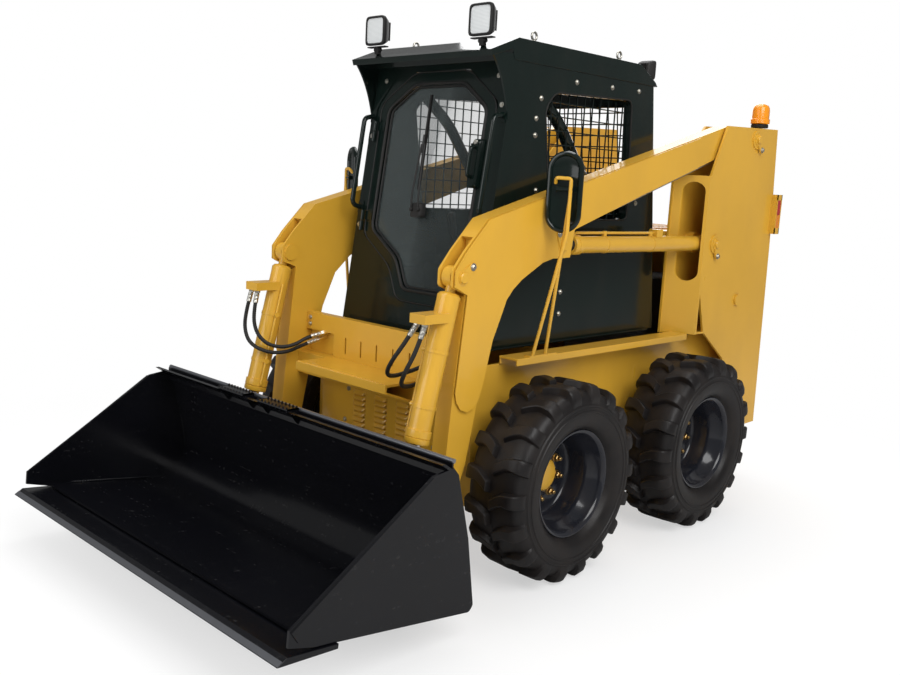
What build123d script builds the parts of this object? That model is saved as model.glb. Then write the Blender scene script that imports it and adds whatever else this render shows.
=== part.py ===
"""Skid-steer loader with a general purpose bucket, as an assembly of separate pieces.

Millimetres. +X is forward, +Y is the machine's left, +Z is up, and the ground is z = 0.
Inside this file x is measured from the rear axle. The last step moves every piece
by ORIGIN_X, so that the origin stands under the middle of the whole length.
"""
from build123d import *
import math
import os

# Wheels
WHEELBASE = 1060.0
TYRE_RADIUS = 420.0
TYRE_WIDTH = 290.0
TREAD_WIDTH = 250.0
LUG_DEPTH = 26.0
LUGS_PER_SIDE = 18
TYRE_GAP = 80.0
RIM_SEAT_RADIUS = 212.0
RIM_FLANGE_RADIUS = 227.0
RIM_WIDTH = 226.0
RIM_WALL = 8.0
RIM_DROP = 32.0
DISC_INSET = 60.0
DISC_WALL = 12.0
HUB_HOLE_RADIUS = 72.0
BOLT_CIRCLE_RADIUS = 103.0
WHEEL_BOLTS = 8

# Chassis
TUB_HALF_WIDTH = 500.0
TUB_WALL = 10.0
TUB_FLOOR_Z = 215.0
TUB_TOP_Z = 880.0
NOSE_X = 1345.0
TAIL_X = -960.0
SHELF_TOP_Z = 915.0
SHELF_WIDTH = 100.0
TOWER_WIDTH = 160.0
TOWER_OUTER_Y = TUB_HALF_WIDTH + SHELF_WIDTH
TOWER_INNER_Y = TOWER_OUTER_Y - TOWER_WIDTH
TOWER_WALL = 12.0
TIE_LUG_WALL = 22.0
TIE_BORE = (-991.0, 256.0)
TIE_BORE_RADIUS = 16.0
WHEEL_Y = TUB_HALF_WIDTH + TYRE_GAP + TYRE_WIDTH / 2

MIRROR_X = 1045.0
MIRROR_OUT = 64.0
MIRROR_Y = TOWER_OUTER_Y + MIRROR_OUT

# Cab
CAB_GAP = 20.0
CAB_HALF_WIDTH = TOWER_INNER_Y - CAB_GAP
CAB_WALL = 40.0
CAB_FLOOR_Z = 925.0
CAB_TOP_Z = 2120.0
ROOF_TOP_Z = 2209.0
FRONT_FOOT_X = 1281.0
FRONT_SLOPE = 0.144
PILLAR_WIDTH = 68.0
DOOR_HALF_WIDTH = CAB_HALF_WIDTH - PILLAR_WIDTH
DOOR_WALL = 30.0
DOOR_GAP = 7.0

# Boom and its cylinders, at rest; the rods' showing lengths are measured level and upright
ARM_WIDTH = 80.0
ARM_INSET = 23.0
ARM_Y = TOWER_OUTER_Y - ARM_INSET - ARM_WIDTH / 2
ARM_SIDE_PLATE = 10.0
BOOM_PIVOT = (-678.0, 1918.0)
LIFT_BARREL_RADIUS = 38.0
LIFT_BARREL_LENGTH = 1150.0
LIFT_ROD_SHOWING = 115.0
LIFT_HEAD = (925.0, 1375.0)
LIFT_FOOT = (LIFT_HEAD[0] - LIFT_BARREL_LENGTH - LIFT_ROD_SHOWING, LIFT_HEAD[1] - 5)
BUCKET_HINGE = (1620.0, 280.0)
TILT_BARREL_RADIUS = 45.0
TILT_BARREL_LENGTH = 655.0
TILT_ROD_SHOWING = 107.0
TILT_LEAN = 187.0
TILT_FOOT = (1720.0, 500.0)
TILT_HEAD = (TILT_FOOT[0] - TILT_LEAN, TILT_FOOT[1] + TILT_BARREL_LENGTH + TILT_ROD_SHOWING)
PIN_RADIUS = 25.0
PIN_PLAY = 0.5
PORT_X = 1700.0
PORT_Z = 1092.0
ROD_RADIUS = 22.0
EYE_RADIUS = 42.0
EYE_WIDTH = 46.0

# Bucket and coupler
BUCKET_HALF_WIDTH = 945.0
BUCKET_WALL = 10.0
EDGE_OVERHANG = 10.0
EAR_GAP = 92.0
EAR_WALL = 18.0

# Cross member between the arms, with the step on it
MEMBER_FRONT_X = 1430.0
MEMBER_BACK_X = 1390.0
MEMBER_TOP_Z = 985.0
MEMBER_PLATE = 10.0
STEP_Z = 800.0
STEP_FRONT_X = 1640.0
STEP_HALF_WIDTH = 295.0

# Hydraulic hoses, each as (node, points from the cylinder's port to the cross member)
HOSE_RADIUS = 8.5
HOSE_ROUTES = (
    ("hose_right_outer", ((1700, -562, 1080), (1724, -567, 992), (1734, -562, 908), (1726, -524, 846),
                          (1676, -458, 814), (1592, -430, 812), (1510, -430, 838), (1445, -405, 862))),
    ("hose_right_inner", ((1700, -516, 1080), (1722, -512, 992), (1720, -496, 912), (1690, -460, 857),
                          (1627, -426, 838), (1560, -406, 850), (1500, -402, 880), (1445, -375, 896))),
    ("hose_left_outer", ((1700, 562, 1080), (1722, 548, 990), (1740, 510, 905), (1715, 460, 842),
                         (1640, 425, 820), (1570, 415, 825), (1500, 424, 845), (1445, 405, 862))),
    ("hose_left_inner", ((1700, 516, 1080), (1728, 484, 1006), (1744, 438, 936), (1724, 388, 878),
                         (1662, 354, 850), (1580, 352, 858), (1508, 374, 880), (1445, 375, 896))),
)

ORIGIN_X = 810.0


def profile(points):
    """A closed face from rows of (u, v) or (u, v, corner radius)."""
    face = Polygon(*[(p[0], p[1]) for p in points], align=None)
    for p in points:
        if len(p) == 3:
            corner = face.vertices().sort_by_distance((p[0], p[1], 0))[0]
            face = fillet(corner, p[2])
    return face


def side_prism(face, y0, y1):
    """Extrudes a face drawn in (x, z) from y0 to y1."""
    return Pos(0, y0, 0) * extrude(Plane.XZ * face, amount=y1 - y0, dir=(0, 1, 0))


def plan_prism(face, z0, z1):
    """Extrudes a face drawn in (x, y) from z0 to z1."""
    return Pos(0, 0, z0) * extrude(face, amount=z1 - z0, dir=(0, 0, 1))


def front_prism(face, x0, x1):
    """Extrudes a face drawn in (y, z) from x0 to x1."""
    return Pos(x0, 0, 0) * extrude(Plane.YZ * face, amount=x1 - x0, dir=(1, 0, 0))


def box(x0, x1, y0, y1, z0, z1):
    """A box between two corners."""
    return Pos((x0 + x1) / 2, (y0 + y1) / 2, (z0 + z1) / 2) * Box(x1 - x0, y1 - y0, z1 - z0)


def bar_y(point, radius, y0, y1):
    """A round bar along Y at (x, z) = point."""
    return Pos(point[0], (y0 + y1) / 2, point[1]) * Rot(90, 0, 0) * Cylinder(radius, y1 - y0)


def mirrored(solid):
    """The same piece on the machine's right."""
    return mirror(solid, about=Plane.XZ)


def along(foot, head):
    """The frame at foot whose Z axis points to head, both as (x, z) at ARM_Y."""
    direction = (head[0] - foot[0], 0, head[1] - foot[1])
    return Plane(origin=(foot[0], ARM_Y, foot[1]), x_dir=(0, 1, 0), z_dir=direction)


def distance(a, b):
    """The distance between two (x, z) points."""
    return math.hypot(b[0] - a[0], b[1] - a[1])


def front_x(z):
    """The x of the cab's leaning front at height z."""
    return FRONT_FOOT_X - (z - CAB_FLOOR_Z) * FRONT_SLOPE


# Wheels


def tyre():
    """Ring with rounded sides, and a row of hooked lugs on each half of the tread."""
    half = TYRE_WIDTH / 2
    tread_half = TREAD_WIDTH / 2
    seat_half = RIM_WIDTH / 2 - 6
    ground_r = TYRE_RADIUS - LUG_DEPTH
    right = [(RIM_SEAT_RADIUS, seat_half), (RIM_FLANGE_RADIUS + 3, seat_half),
             (RIM_FLANGE_RADIUS + 14, half - 14), (RIM_FLANGE_RADIUS + 75, half),
             (ground_r - 45, half - 4), (ground_r - 10, tread_half - 8), (ground_r, tread_half - 45)]
    left = [(r, -y) for r, y in reversed(right)]
    carcass = revolve(Polygon(*right, *left, align=None), Axis.Y)
    envelope_right = [(ground_r - 60, 0), (ground_r - 60, half - 2), (ground_r - 30, half - 2),
                      (TYRE_RADIUS - 8, tread_half), (TYRE_RADIUS, tread_half - 30), (TYRE_RADIUS, 0)]
    envelope = revolve(Polygon(*envelope_right, align=None), Axis.Y)
    # The lug's plan as (along the tread, across it): a straight shoulder and a slanted root
    plan = [(-30, half + 5), (30, half + 5), (26, 75), (-14, 8), (-56, 8), (-20, 75)]
    lug = Plane.YZ * Polygon(*[(y, x) for x, y in plan], align=None)
    block = Pos(ground_r - 40, 0, 0) * extrude(lug, amount=LUG_DEPTH + 60, dir=(1, 0, 0))
    pitch = 360.0 / LUGS_PER_SIDE
    row = [Rot(0, pitch * i, 0) * block for i in range(LUGS_PER_SIDE)]
    lugs = (Part() + row) & envelope
    other = Rot(0, pitch / 2, 0) * mirror(lugs, about=Plane.XZ)
    return carcass + lugs + other


def rim():
    """Rim barrel with two flanges and a disc set deep inside the outer edge."""
    half = RIM_WIDTH / 2
    seat = RIM_SEAT_RADIUS
    section = [(seat, -half + 6), (seat, half - 6), (RIM_FLANGE_RADIUS, half - 6), (RIM_FLANGE_RADIUS, half),
               (seat - RIM_WALL, half), (seat - RIM_DROP, half - 50), (seat - RIM_DROP, -half + 50),
               (seat - RIM_WALL, -half), (RIM_FLANGE_RADIUS, -half), (RIM_FLANGE_RADIUS, -half + 6)]
    barrel = revolve(Polygon(*section, align=None), Axis.Y)
    disc_y = -DISC_INSET
    disc = bar_y((0, 0), seat - RIM_DROP + 6, disc_y - DISC_WALL, disc_y)
    disc -= bar_y((0, 0), HUB_HOLE_RADIUS, disc_y - 50, disc_y + 50)
    return barrel + disc


def hub():
    """Hub with the flange that the disc bolts to, and its ring of wheel nuts."""
    seat_y = -DISC_INSET - DISC_WALL
    body = bar_y((0, 0), HUB_HOLE_RADIUS - 1, seat_y - 40, seat_y + 38)
    body += bar_y((0, 0), BOLT_CIRCLE_RADIUS + 28, seat_y - 20, seat_y)
    for i in range(WHEEL_BOLTS):
        nut = Pos(BOLT_CIRCLE_RADIUS, seat_y + DISC_WALL, 0) * Rot(-90, 0, 0)
        nut *= extrude(RegularPolygon(15, 6), amount=18)
        body += Rot(0, 360 / WHEEL_BOLTS * i, 0) * nut
    return body


# Chassis


def chassis_tub():
    """Narrow welded tub between the wheels, open at the top."""
    side = [(TAIL_X, TUB_FLOOR_Z + 60), (TAIL_X + 60, TUB_FLOOR_Z), (NOSE_X - 150, TUB_FLOOR_Z),
            (NOSE_X - TUB_WALL, 460), (NOSE_X - TUB_WALL, 700), (1270, TUB_TOP_Z), (TAIL_X, TUB_TOP_Z)]
    outer = side_prism(profile(side), -TUB_HALF_WIDTH, TUB_HALF_WIDTH)
    inner = [(TAIL_X + TUB_WALL, TUB_FLOOR_Z + 64), (TAIL_X + 64, TUB_FLOOR_Z + TUB_WALL),
             (NOSE_X - 155, TUB_FLOOR_Z + TUB_WALL), (NOSE_X - 2 * TUB_WALL, 462), (NOSE_X - 2 * TUB_WALL, 696),
             (1262, TUB_TOP_Z + 1), (TAIL_X + TUB_WALL, TUB_TOP_Z + 1)]
    half = TUB_HALF_WIDTH - TUB_WALL
    tub = outer - side_prism(profile(inner), -half, half)
    hub_back = WHEEL_Y - DISC_INSET - DISC_WALL - 40
    for x in (0, WHEELBASE):
        tube = bar_y((x, TYRE_RADIUS), 60, half, hub_back - 2)
        tube += bar_y((x, TYRE_RADIUS), 85, half, TUB_HALF_WIDTH + 20)
        tub += [tube, mirrored(tube)]
    return tub


def belly_panel():
    """Front belly plate with three columns of louvres."""
    half = TUB_HALF_WIDTH - 30
    plate = box(NOSE_X - TUB_WALL, NOSE_X, -half, half, 430, 680)
    pitch = 25
    for y in (-195, -50, 95):
        for i in range(7):
            z = 476 + pitch * i
            plate -= box(NOSE_X - 40, NOSE_X + 1, y - 40, y + 40, z, z + 8)
            hood = [(NOSE_X, z + 19), (NOSE_X + 11, z + 8), (NOSE_X + 9, z + 6), (NOSE_X, z + 13)]
            plate += side_prism(profile(hood), y - 40, y + 40)
    return plate


def step_panel():
    """Cross member between the arms: a slotted cover, two end pockets and the step below."""
    reach = ARM_Y - ARM_WIDTH / 2
    t = MEMBER_PLATE
    x0, x1 = MEMBER_BACK_X, MEMBER_FRONT_X
    member = box(x0, x0 + t, -reach, reach, STEP_Z - t, MEMBER_TOP_Z)
    member += box(x0, x1, -reach, reach, MEMBER_TOP_Z - t, MEMBER_TOP_Z)
    member += box(x1 - t, x1, -reach, reach, MEMBER_TOP_Z - 80, MEMBER_TOP_Z)
    member += box(x1 - t, x1, -STEP_HALF_WIDTH, STEP_HALF_WIDTH, STEP_Z - t, MEMBER_TOP_Z)
    member += box(x0, x1 + 45, -reach, reach, STEP_Z - t, STEP_Z)
    member += box(x1 + 35, x1 + 45, -reach, reach, STEP_Z - 100, STEP_Z)
    step = [(x1, STEP_Z), (STEP_FRONT_X, STEP_Z), (STEP_FRONT_X, STEP_Z - 36), (x1, STEP_Z - 110),
            (x1, STEP_Z - 110 + t), (STEP_FRONT_X - t, STEP_Z - 30), (STEP_FRONT_X - t, STEP_Z - t),
            (x1, STEP_Z - t)]
    member += side_prism(profile(step), -STEP_HALF_WIDTH, STEP_HALF_WIDTH)
    for i in range(5):
        slot = Pos(105 * (i - 2), 862) * SlotOverall(75, 10, 90)
        member -= front_prism(slot, x1 - t - 1, x1 + 1)
    for name, route in HOSE_ROUTES:
        end, before = Vector(*route[-1]), Vector(*route[-2])
        direction = (end - before).normalized()
        run = (x0 + t - end.X) / direction.X
        member += Plane(origin=end, z_dir=direction) * Pos(0, 0, run / 2 + 2) * Cylinder(11, run + 4)
    return member


def fender():
    """Shelf over the left wheels, with a folded lip."""
    section = [(TUB_HALF_WIDTH + 1, TUB_TOP_Z), (TUB_HALF_WIDTH + 1, SHELF_TOP_Z), (TOWER_OUTER_Y, SHELF_TOP_Z),
               (TOWER_OUTER_Y, SHELF_TOP_Z - 30), (TOWER_OUTER_Y - 8, SHELF_TOP_Z - 30),
               (TOWER_OUTER_Y - 8, SHELF_TOP_Z - 10), (TUB_HALF_WIDTH + 9, SHELF_TOP_Z - 10),
               (TUB_HALF_WIDTH + 9, TUB_TOP_Z)]
    return front_prism(profile(section), -150, 1190)


def tower():
    """Left tower: outer and inner plates, a slanted front with the cylinder's slot, and a rear plate."""
    outer = [(-908, 1986, 20), (-362, 1967), (-250, 1733), (-230, 1690), (-230, 1150), (-311, 913),
             (-546, 752), (-640, 560), (-660, 330), (-1002, 333), (-960, 1387)]
    plate = side_prism(profile(outer), TOWER_OUTER_Y - TOWER_WALL, TOWER_OUTER_Y)
    inner = [(-908, 1986, 20), (-400, 1968), (-130, 1690), (-130, 905), (-982, 905), (-960, 1387)]
    body = plate + side_prism(profile(inner), TOWER_INNER_Y, TOWER_INNER_Y + TOWER_WALL)
    front = [(-230, TOWER_OUTER_Y), (-130, TOWER_INNER_Y), (-142, TOWER_INNER_Y), (-242, TOWER_OUTER_Y)]
    slot = Pos(0, ARM_Y, 0) * front_prism(Pos(0, 1430) * SlotOverall(500, 2 * LIFT_BARREL_RADIUS + 22, 90), -300, -50)
    body += plan_prism(profile(front), 905, 1712) - slot
    rear = [(-908, 1986), (-960, 1387), (-1002, 333), (-992, 333), (-950, 1387), (-898, 1960)]
    body += side_prism(profile(rear), TUB_HALF_WIDTH + 1, TOWER_OUTER_Y)
    rear_top = [(-908, 1986), (-960, 1387), (-982, 905), (-972, 905), (-950, 1387), (-898, 1960)]
    body += side_prism(profile(rear_top), TOWER_INNER_Y, TUB_HALF_WIDTH + 1)
    body += box(-975, -140, TOWER_INNER_Y, TUB_HALF_WIDTH + 1, SHELF_TOP_Z - 10, SHELF_TOP_Z)
    inside, outside = TUB_HALF_WIDTH + 1, TOWER_OUTER_Y
    shelf = [(-972, inside), (-972, outside), (-300, outside), (-240, outside - 10), (-230, inside)]
    body += plan_prism(profile(shelf), SHELF_TOP_Z - 10, SHELF_TOP_Z)
    gap = (ARM_WIDTH / 2) + 4
    for point in (BOOM_PIVOT, LIFT_FOOT):
        body += bar_y(point, 55, TOWER_INNER_Y + TOWER_WALL, ARM_Y - gap)
        body += bar_y(point, 48, TOWER_OUTER_Y, TOWER_OUTER_Y + 8)
        body += bar_y(point, PIN_RADIUS, TOWER_INNER_Y + 1, TOWER_OUTER_Y + 14)
    body += bar_y((-635, 1065), 30, TOWER_OUTER_Y, TOWER_OUTER_Y + 12)
    return body


def rear_frame():
    """Rear bumper beam between the towers, with a tie-down lug under each end."""
    x0, x1 = TAIL_X - 60, TAIL_X - 2
    half = TUB_HALF_WIDTH - TUB_WALL
    beam = box(x0, x1, -half, half, 300, 460)
    lug = box(x0, x1, 330, 330 + TIE_LUG_WALL, 225, 301) - bar_y(TIE_BORE, TIE_BORE_RADIUS, 320, 370)
    return beam + lug + mirrored(lug)


def engine_block():
    """Engine and pumps as one block between the towers."""
    return box(-800, -250, -240, 240, TUB_FLOOR_Z + TUB_WALL, 1150)


def tail_lamps():
    """Guarded red and amber lamps on the towers' outer rear corners."""
    lamp = box(-985, -925, TOWER_OUTER_Y + 1, TOWER_OUTER_Y + 35, 1420, 1640)
    return Compound(children=[lamp, mirrored(lamp)])


def beacon():
    """Round beacon with its foot on the left tower."""
    y = TOWER_OUTER_Y - 50
    foot = Pos(-790, y, 1998) * Cylinder(46, 20)
    dome = Pos(-790, y, 2058) * Cylinder(40, 100)
    return foot + dome


def mirrors():
    """Oval mirrors on two-rod stays that stand on the shelves."""
    plate = side_prism(Pos(0, 1600) * SlotOverall(330, 150, 90), 0, 24)
    stay = Pos(MIRROR_X, MIRROR_Y, 0) * Rot(0, 0, 60) * plate
    foot_y = TOWER_OUTER_Y - 10
    for x in (MIRROR_X - 100, MIRROR_X + 40):
        stay += box(x - 18, x + 18, foot_y - 26, foot_y + 9, SHELF_TOP_Z, SHELF_TOP_Z + 6)
        rod = Line((x, foot_y, SHELF_TOP_Z + 3), (MIRROR_X, MIRROR_Y + 8, 1560))
        stay += sweep(Plane(origin=rod @ 0, z_dir=rod % 0) * Circle(7), rod)
    return Compound(children=[stay, mirrored(stay)])


# Cab


def cab_shell():
    """Hollow cab walls with window and door openings."""
    top = CAB_TOP_Z
    outer = [(-104, CAB_FLOOR_Z), (77, top), (front_x(top), top), (front_x(CAB_FLOOR_Z), CAB_FLOOR_Z)]
    w = CAB_WALL
    inner = [(-104 + w, CAB_FLOOR_Z - 1), (77 + w, top + 1), (front_x(top) - w, top + 1),
             (front_x(CAB_FLOOR_Z) - w, CAB_FLOOR_Z - 1)]
    half = CAB_HALF_WIDTH
    shell = side_prism(profile(outer), -half, half) - side_prism(profile(inner), -half + w, half - w)
    shell -= side_prism(side_window(), -half - 1, half + 1)
    shell -= front_prism(Pos(0, 1780) * RectangleRounded(600, 500, 40), -150, 250)
    opening = offset(door_outline(), DOOR_GAP)
    shell -= front_prism(opening, 1000, 1400)
    return shell


def side_window():
    """Side window outline as (x, z)."""
    return profile([(253, 2037, 30), (833, 2016, 30), (894, 1948, 30), (820, 1480, 60), (215, 1480, 40)])


def door_outline():
    """Front door outline as (y, z)."""
    w = DOOR_HALF_WIDTH
    return profile([(-w, 1360, 40), (-w, 1955, 30), (-160, 2088, 20), (170, 2088, 20), (w, 1955, 30),
                    (w, 1085, 50), (-70, 1085, 60), (-150, 1230, 60)])


def cab_roof():
    """Roof with a sloped rear edge and a visor that overhangs the front."""
    section = [(50, CAB_TOP_Z), (70, 2140), (204, ROOF_TOP_Z), (1100, ROOF_TOP_Z), (1270, 2142), (1262, 2118),
               (1135, 2160), (1120, CAB_TOP_Z)]
    return side_prism(profile(section), -CAB_HALF_WIDTH - 5, CAB_HALF_WIDTH + 5)


def window_meshes():
    """Square bar meshes in the side and rear windows."""
    window = side_window()
    y = CAB_HALF_WIDTH - CAB_WALL
    frame = offset(window, 18)
    cover = side_prism(frame, y - 5, y)
    bars = [box(200 + 60 * i, 205 + 60 * i, y - 5, y, 1400, 2100) for i in range(1, 12)]
    bars += [box(150, 950, y - 5, y, 1500 + 60 * i, 1505 + 60 * i) for i in range(10)]
    mesh = ((Part() + bars) & cover) + (cover - side_prism(offset(window, 2), y - 6, y + 1))
    return Compound(children=[mesh, mirrored(mesh)])


def work_lamps():
    """Two square front lamps on brackets."""
    y = CAB_HALF_WIDTH - 100
    lamp = box(1180, 1235, y - 50, y + 50, 2235, 2335) + box(1200, 1215, y - 10, y + 10, 2170, 2236)
    return Compound(children=[lamp, mirrored(lamp)])


def eye_bolts():
    """Four lifting eyes on the roof."""
    eye = Pos(0, 0, 32) * Rot(90, 0, 0) * Torus(16, 5) + Pos(0, 0, 9) * Cylinder(7, 18)
    eye += Pos(0, 0, 1.5) * Cylinder(14, 3)
    reach = CAB_HALF_WIDTH - 60
    spots = [(x, y) for x in (300, 931) for y in (-reach, reach)]
    return Compound(children=[Pos(x, y, ROOF_TOP_Z) * eye for x, y in spots])


def seat():
    """Suspension seat with its base."""
    base = box(250, 620, -200, 200, CAB_FLOOR_Z + 11, 1150)
    cushion = side_prism(profile([(230, 1150), (230, 1240), (700, 1250, 40), (700, 1150, 20)]), -240, 240)
    back = side_prism(profile([(220, 1240), (330, 1245), (280, 1750, 40), (170, 1750, 30)]), -230, 230)
    return base + cushion + back


def cab_floor():
    """Floor plate under the cab with the footwell at its front."""
    return box(-60, 1235, -CAB_HALF_WIDTH, CAB_HALF_WIDTH, CAB_FLOOR_Z - 9, CAB_FLOOR_Z)


def grab_handles():
    """Round grab handles on both front pillars."""
    z0, z1 = 1480, 1900
    y = CAB_HALF_WIDTH - 20
    points = [(front_x(z0) + 4, y, z0), (front_x(z0) + 60, y, z0 + 10), (front_x(z1) + 60, y, z1 - 10),
              (front_x(z1) + 4, y, z1)]
    path = FilletPolyline(*points, radius=30)
    rail = sweep(Plane(origin=path @ 0, z_dir=path % 0) * Circle(11), path)
    for z in (z0, z1):
        rail += leaning(Pos(y, z) * RectangleRounded(34, 60, 8), 6, 0)
    return Compound(children=[rail, mirrored(rail)])


# Doors


def leaning(face, depth, back):
    """Extrudes a (y, z) face through the leaning cab front, back mm behind it and depth thick."""
    block = front_prism(face, 900, 1500)
    z0, z1 = 900, 2200
    slab = [(front_x(z0) - back, z0), (front_x(z1) - back, z1), (front_x(z1) - back + depth, z1),
            (front_x(z0) - back + depth, z0)]
    return block & side_prism(profile(slab), -500, 500)


def front_door():
    """Door frame."""
    ring = leaning(door_outline(), DOOR_WALL, DOOR_WALL)
    ring -= leaning(offset(door_outline(), -50), 200, 100)
    ring += Pos(front_x(1700) + 15, 300, 1700) * Box(30, 40, 160)
    return ring


def door_glass():
    """Front glass inside the door's rubber seal."""
    return leaning(offset(door_outline(), -50), 6, 18)


def wiper():
    """Wiper arm and blade before the glass."""
    z0, z1 = 1500, 2000
    points = [(front_x(z0) + 14, 0, z0), (front_x(z1) + 14, 0, z1)]
    rod = Line(*points)
    motor = Pos(front_x(1490) + 20, 0, 1490) * Box(40, 60, 60)
    return sweep(Plane(origin=rod @ 0, z_dir=rod % 0) * Circle(8), rod) + motor


def rear_door():
    """Engine bay door."""
    x = TAIL_X - 32
    half = TOWER_INNER_Y - 15
    return box(x, x + 30, -half, half, 470, 1380)


def engine_hood():
    """Cover over the engine between the towers."""
    half = TOWER_INNER_Y - 12
    return box(-950, -135, -half, half, 1395, 1425)


# Boom


def boom():
    """Both lift arms with their legs."""
    x, z = TILT_HEAD
    outline_points = [(-678, 1976), (-386, 1964), (1399, 1484), (x - 13, z + 98), (x + 45, z + 28, 20),
                      (x + 45, z - 37, 20), (x - 32, z - 67), (1538, 845), (1564, 527), (1680, 330),
                      (1665, 215, 30), (1560, 215, 30), (1448, 506), (1394, 775), (1337, 1005), (1267, 1162), (1181, 1240), (1052, 1306),
                      (985, 1322, 30), (870, 1322, 30), (850, 1442), (357, 1598), (-326, 1805), (-678, 1860)]
    half = ARM_WIDTH / 2
    arm = side_prism(profile(outline_points), ARM_Y - half, ARM_Y + half)
    arm += bar_y(BOOM_PIVOT, 58, ARM_Y - half, ARM_Y + half)
    inside = half - ARM_SIDE_PLATE
    pocket = [(x - 93, z - 57), (x + 67, z - 102), (x + 167, z + 38), (x - 53, z + 158), (x - 93, z + 138)]
    arm -= side_prism(profile(pocket), ARM_Y - inside, ARM_Y + inside)
    arm -= side_prism(profile([(836, 1250), (1010, 1250), (1010, 1330), (985, 1450), (836, 1450)]),
                      ARM_Y - inside, ARM_Y + inside)
    for point in (BOOM_PIVOT, BUCKET_HINGE):
        arm -= bar_y(point, PIN_RADIUS + PIN_PLAY, ARM_Y - half - 1, ARM_Y + half + 1)
    stub = inside - EYE_WIDTH / 2 - 1
    for side in (-1, 1):
        y0 = ARM_Y + side * (inside - stub)
        y1 = ARM_Y + side * (inside + 1)
        arm += bar_y(LIFT_HEAD, PIN_RADIUS, min(y0, y1), max(y0, y1))
        face = ARM_Y + side * half
        arm += bar_y(LIFT_HEAD, 40, min(face, face + side * 8), max(face, face + side * 8))
        arm += bar_y(TILT_HEAD, 36, min(face, face + side * 8), max(face, face + side * 8))
    arm += bar_y(TILT_HEAD, PIN_RADIUS, ARM_Y - half, ARM_Y + half)
    return Compound(children=[arm, mirrored(arm)])


def barrel(foot, head, radius, length, start):
    """Cylinder barrel from its eye at foot towards head."""
    frame = along(foot, head)
    tube = Pos(0, 0, (start + length) / 2) * Cylinder(radius, length - start)
    neck = Pos(0, 0, start / 2) * Cylinder(EYE_WIDTH / 2 - 3, start)
    eye = Rot(0, 90, 0) * Cylinder(EYE_RADIUS, EYE_WIDTH)
    body = tube + neck + eye
    body -= Pos(0, 0, start + 60 + length / 2) * Cylinder(ROD_RADIUS + 1, length)
    body -= Rot(0, 90, 0) * Cylinder(PIN_RADIUS + PIN_PLAY, EYE_WIDTH + 10)
    return frame * body


def rod(foot, head, start):
    """Piston rod that ends in an eye at head."""
    span = distance(foot, head)
    frame = along(foot, head)
    shaft = Pos(0, 0, (start + span - EYE_RADIUS) / 2 + 2) * Cylinder(ROD_RADIUS, span - EYE_RADIUS - start + 4)
    eye = Pos(0, 0, span) * Rot(0, 90, 0) * Cylinder(EYE_RADIUS, EYE_WIDTH)
    eye -= Pos(0, 0, span) * Rot(0, 90, 0) * Cylinder(PIN_RADIUS + PIN_PLAY, EYE_WIDTH + 10)
    return frame * (shaft + eye)


def lift_barrel():
    return barrel(LIFT_FOOT, LIFT_HEAD, LIFT_BARREL_RADIUS, LIFT_BARREL_LENGTH, 70)


def lift_rod():
    return rod(LIFT_FOOT, LIFT_HEAD, 220)


def tilt_barrel():
    """Tilt cylinder's barrel with the block that carries its two ports in front."""
    body = barrel(TILT_HEAD, TILT_FOOT, TILT_BARREL_RADIUS, TILT_BARREL_LENGTH, 85)
    block = box(1560, PORT_X + 16, ARM_Y - 40, ARM_Y + 44, PORT_Z, PORT_Z + 36)
    rod_bore = Pos(0, 0, 145 + TILT_BARREL_LENGTH / 2) * Cylinder(ROD_RADIUS + 1, TILT_BARREL_LENGTH)
    return body + (block - along(TILT_HEAD, TILT_FOOT) * rod_bore)


def tilt_rod():
    return rod(TILT_HEAD, TILT_FOOT, 225)


# Bucket


def coupler():
    """Quick coupler: a pair of ears at each arm, joined by a back plate."""
    ear = [(1560, 260, 40), (1600, 215, 30), (1700, 215, 20), (1762, 235), (1792, 470), (1765, 560, 20),
           (1690, 560, 30), (1600, 340, 40)]
    gap = EAR_GAP / 2
    solids = None
    for side in (-1, 1):
        y0 = ARM_Y + side * gap
        y1 = ARM_Y + side * (gap + EAR_WALL)
        lo, hi = min(y0, y1), max(y0, y1)
        plate = side_prism(profile(ear), lo, hi)
        s0 = ARM_Y + side * (EYE_WIDTH / 2 + 1)
        plate += bar_y(TILT_FOOT, PIN_RADIUS, min(s0, y0), max(s0, y0))
        solids = plate if solids is None else solids + plate
    solids += bar_y(BUCKET_HINGE, PIN_RADIUS, ARM_Y - gap - EAR_WALL - 8, ARM_Y + gap + EAR_WALL + 8)
    back = [(1756, 190), (1768, 190), (1812, 560), (1800, 560)]
    reach = ARM_Y + 83
    plate = side_prism(profile(back), -reach, reach)
    for y in (-ARM_Y, ARM_Y):
        plate -= box(1700, 1850, y - gap, y + gap, 430, 600)
    return solids + mirrored(solids) + plate


def bucket():
    """Bucket shell with a curved back and two side plates."""
    scoop = profile([(2700, 246), (1785, 120, 150), (1818, 400, 300), (1885, 650, 25), (2485, 1050), (2700, 1050)])
    front_x1, lip_z = 2480, 692
    window = Polygon((1700, 100), (front_x1, 100), (front_x1, lip_z), (1700, lip_z), align=None)
    skin = (scoop - offset(scoop, -BUCKET_WALL)) & window
    shell = side_prism(skin, -BUCKET_HALF_WIDTH, BUCKET_HALF_WIDTH)
    cheek = [(2580, 243), (2480, 215), (1787, 118, 20), (1769, 140, 15), (1814, 400), (1881, 643), (1906, 672),
             (2000, 660), (2576, 296)]
    side = side_prism(profile(cheek), BUCKET_HALF_WIDTH - BUCKET_WALL, BUCKET_HALF_WIDTH)
    return shell + side + mirrored(side)


def cutting_edge():
    """Bevelled edge plate below the floor's front."""
    section = [(2395, 186), (2625, 200), (2590, 222), (2393, 202)]
    half = BUCKET_HALF_WIDTH + EDGE_OVERHANG
    return side_prism(profile(section), -half, half)


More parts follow.
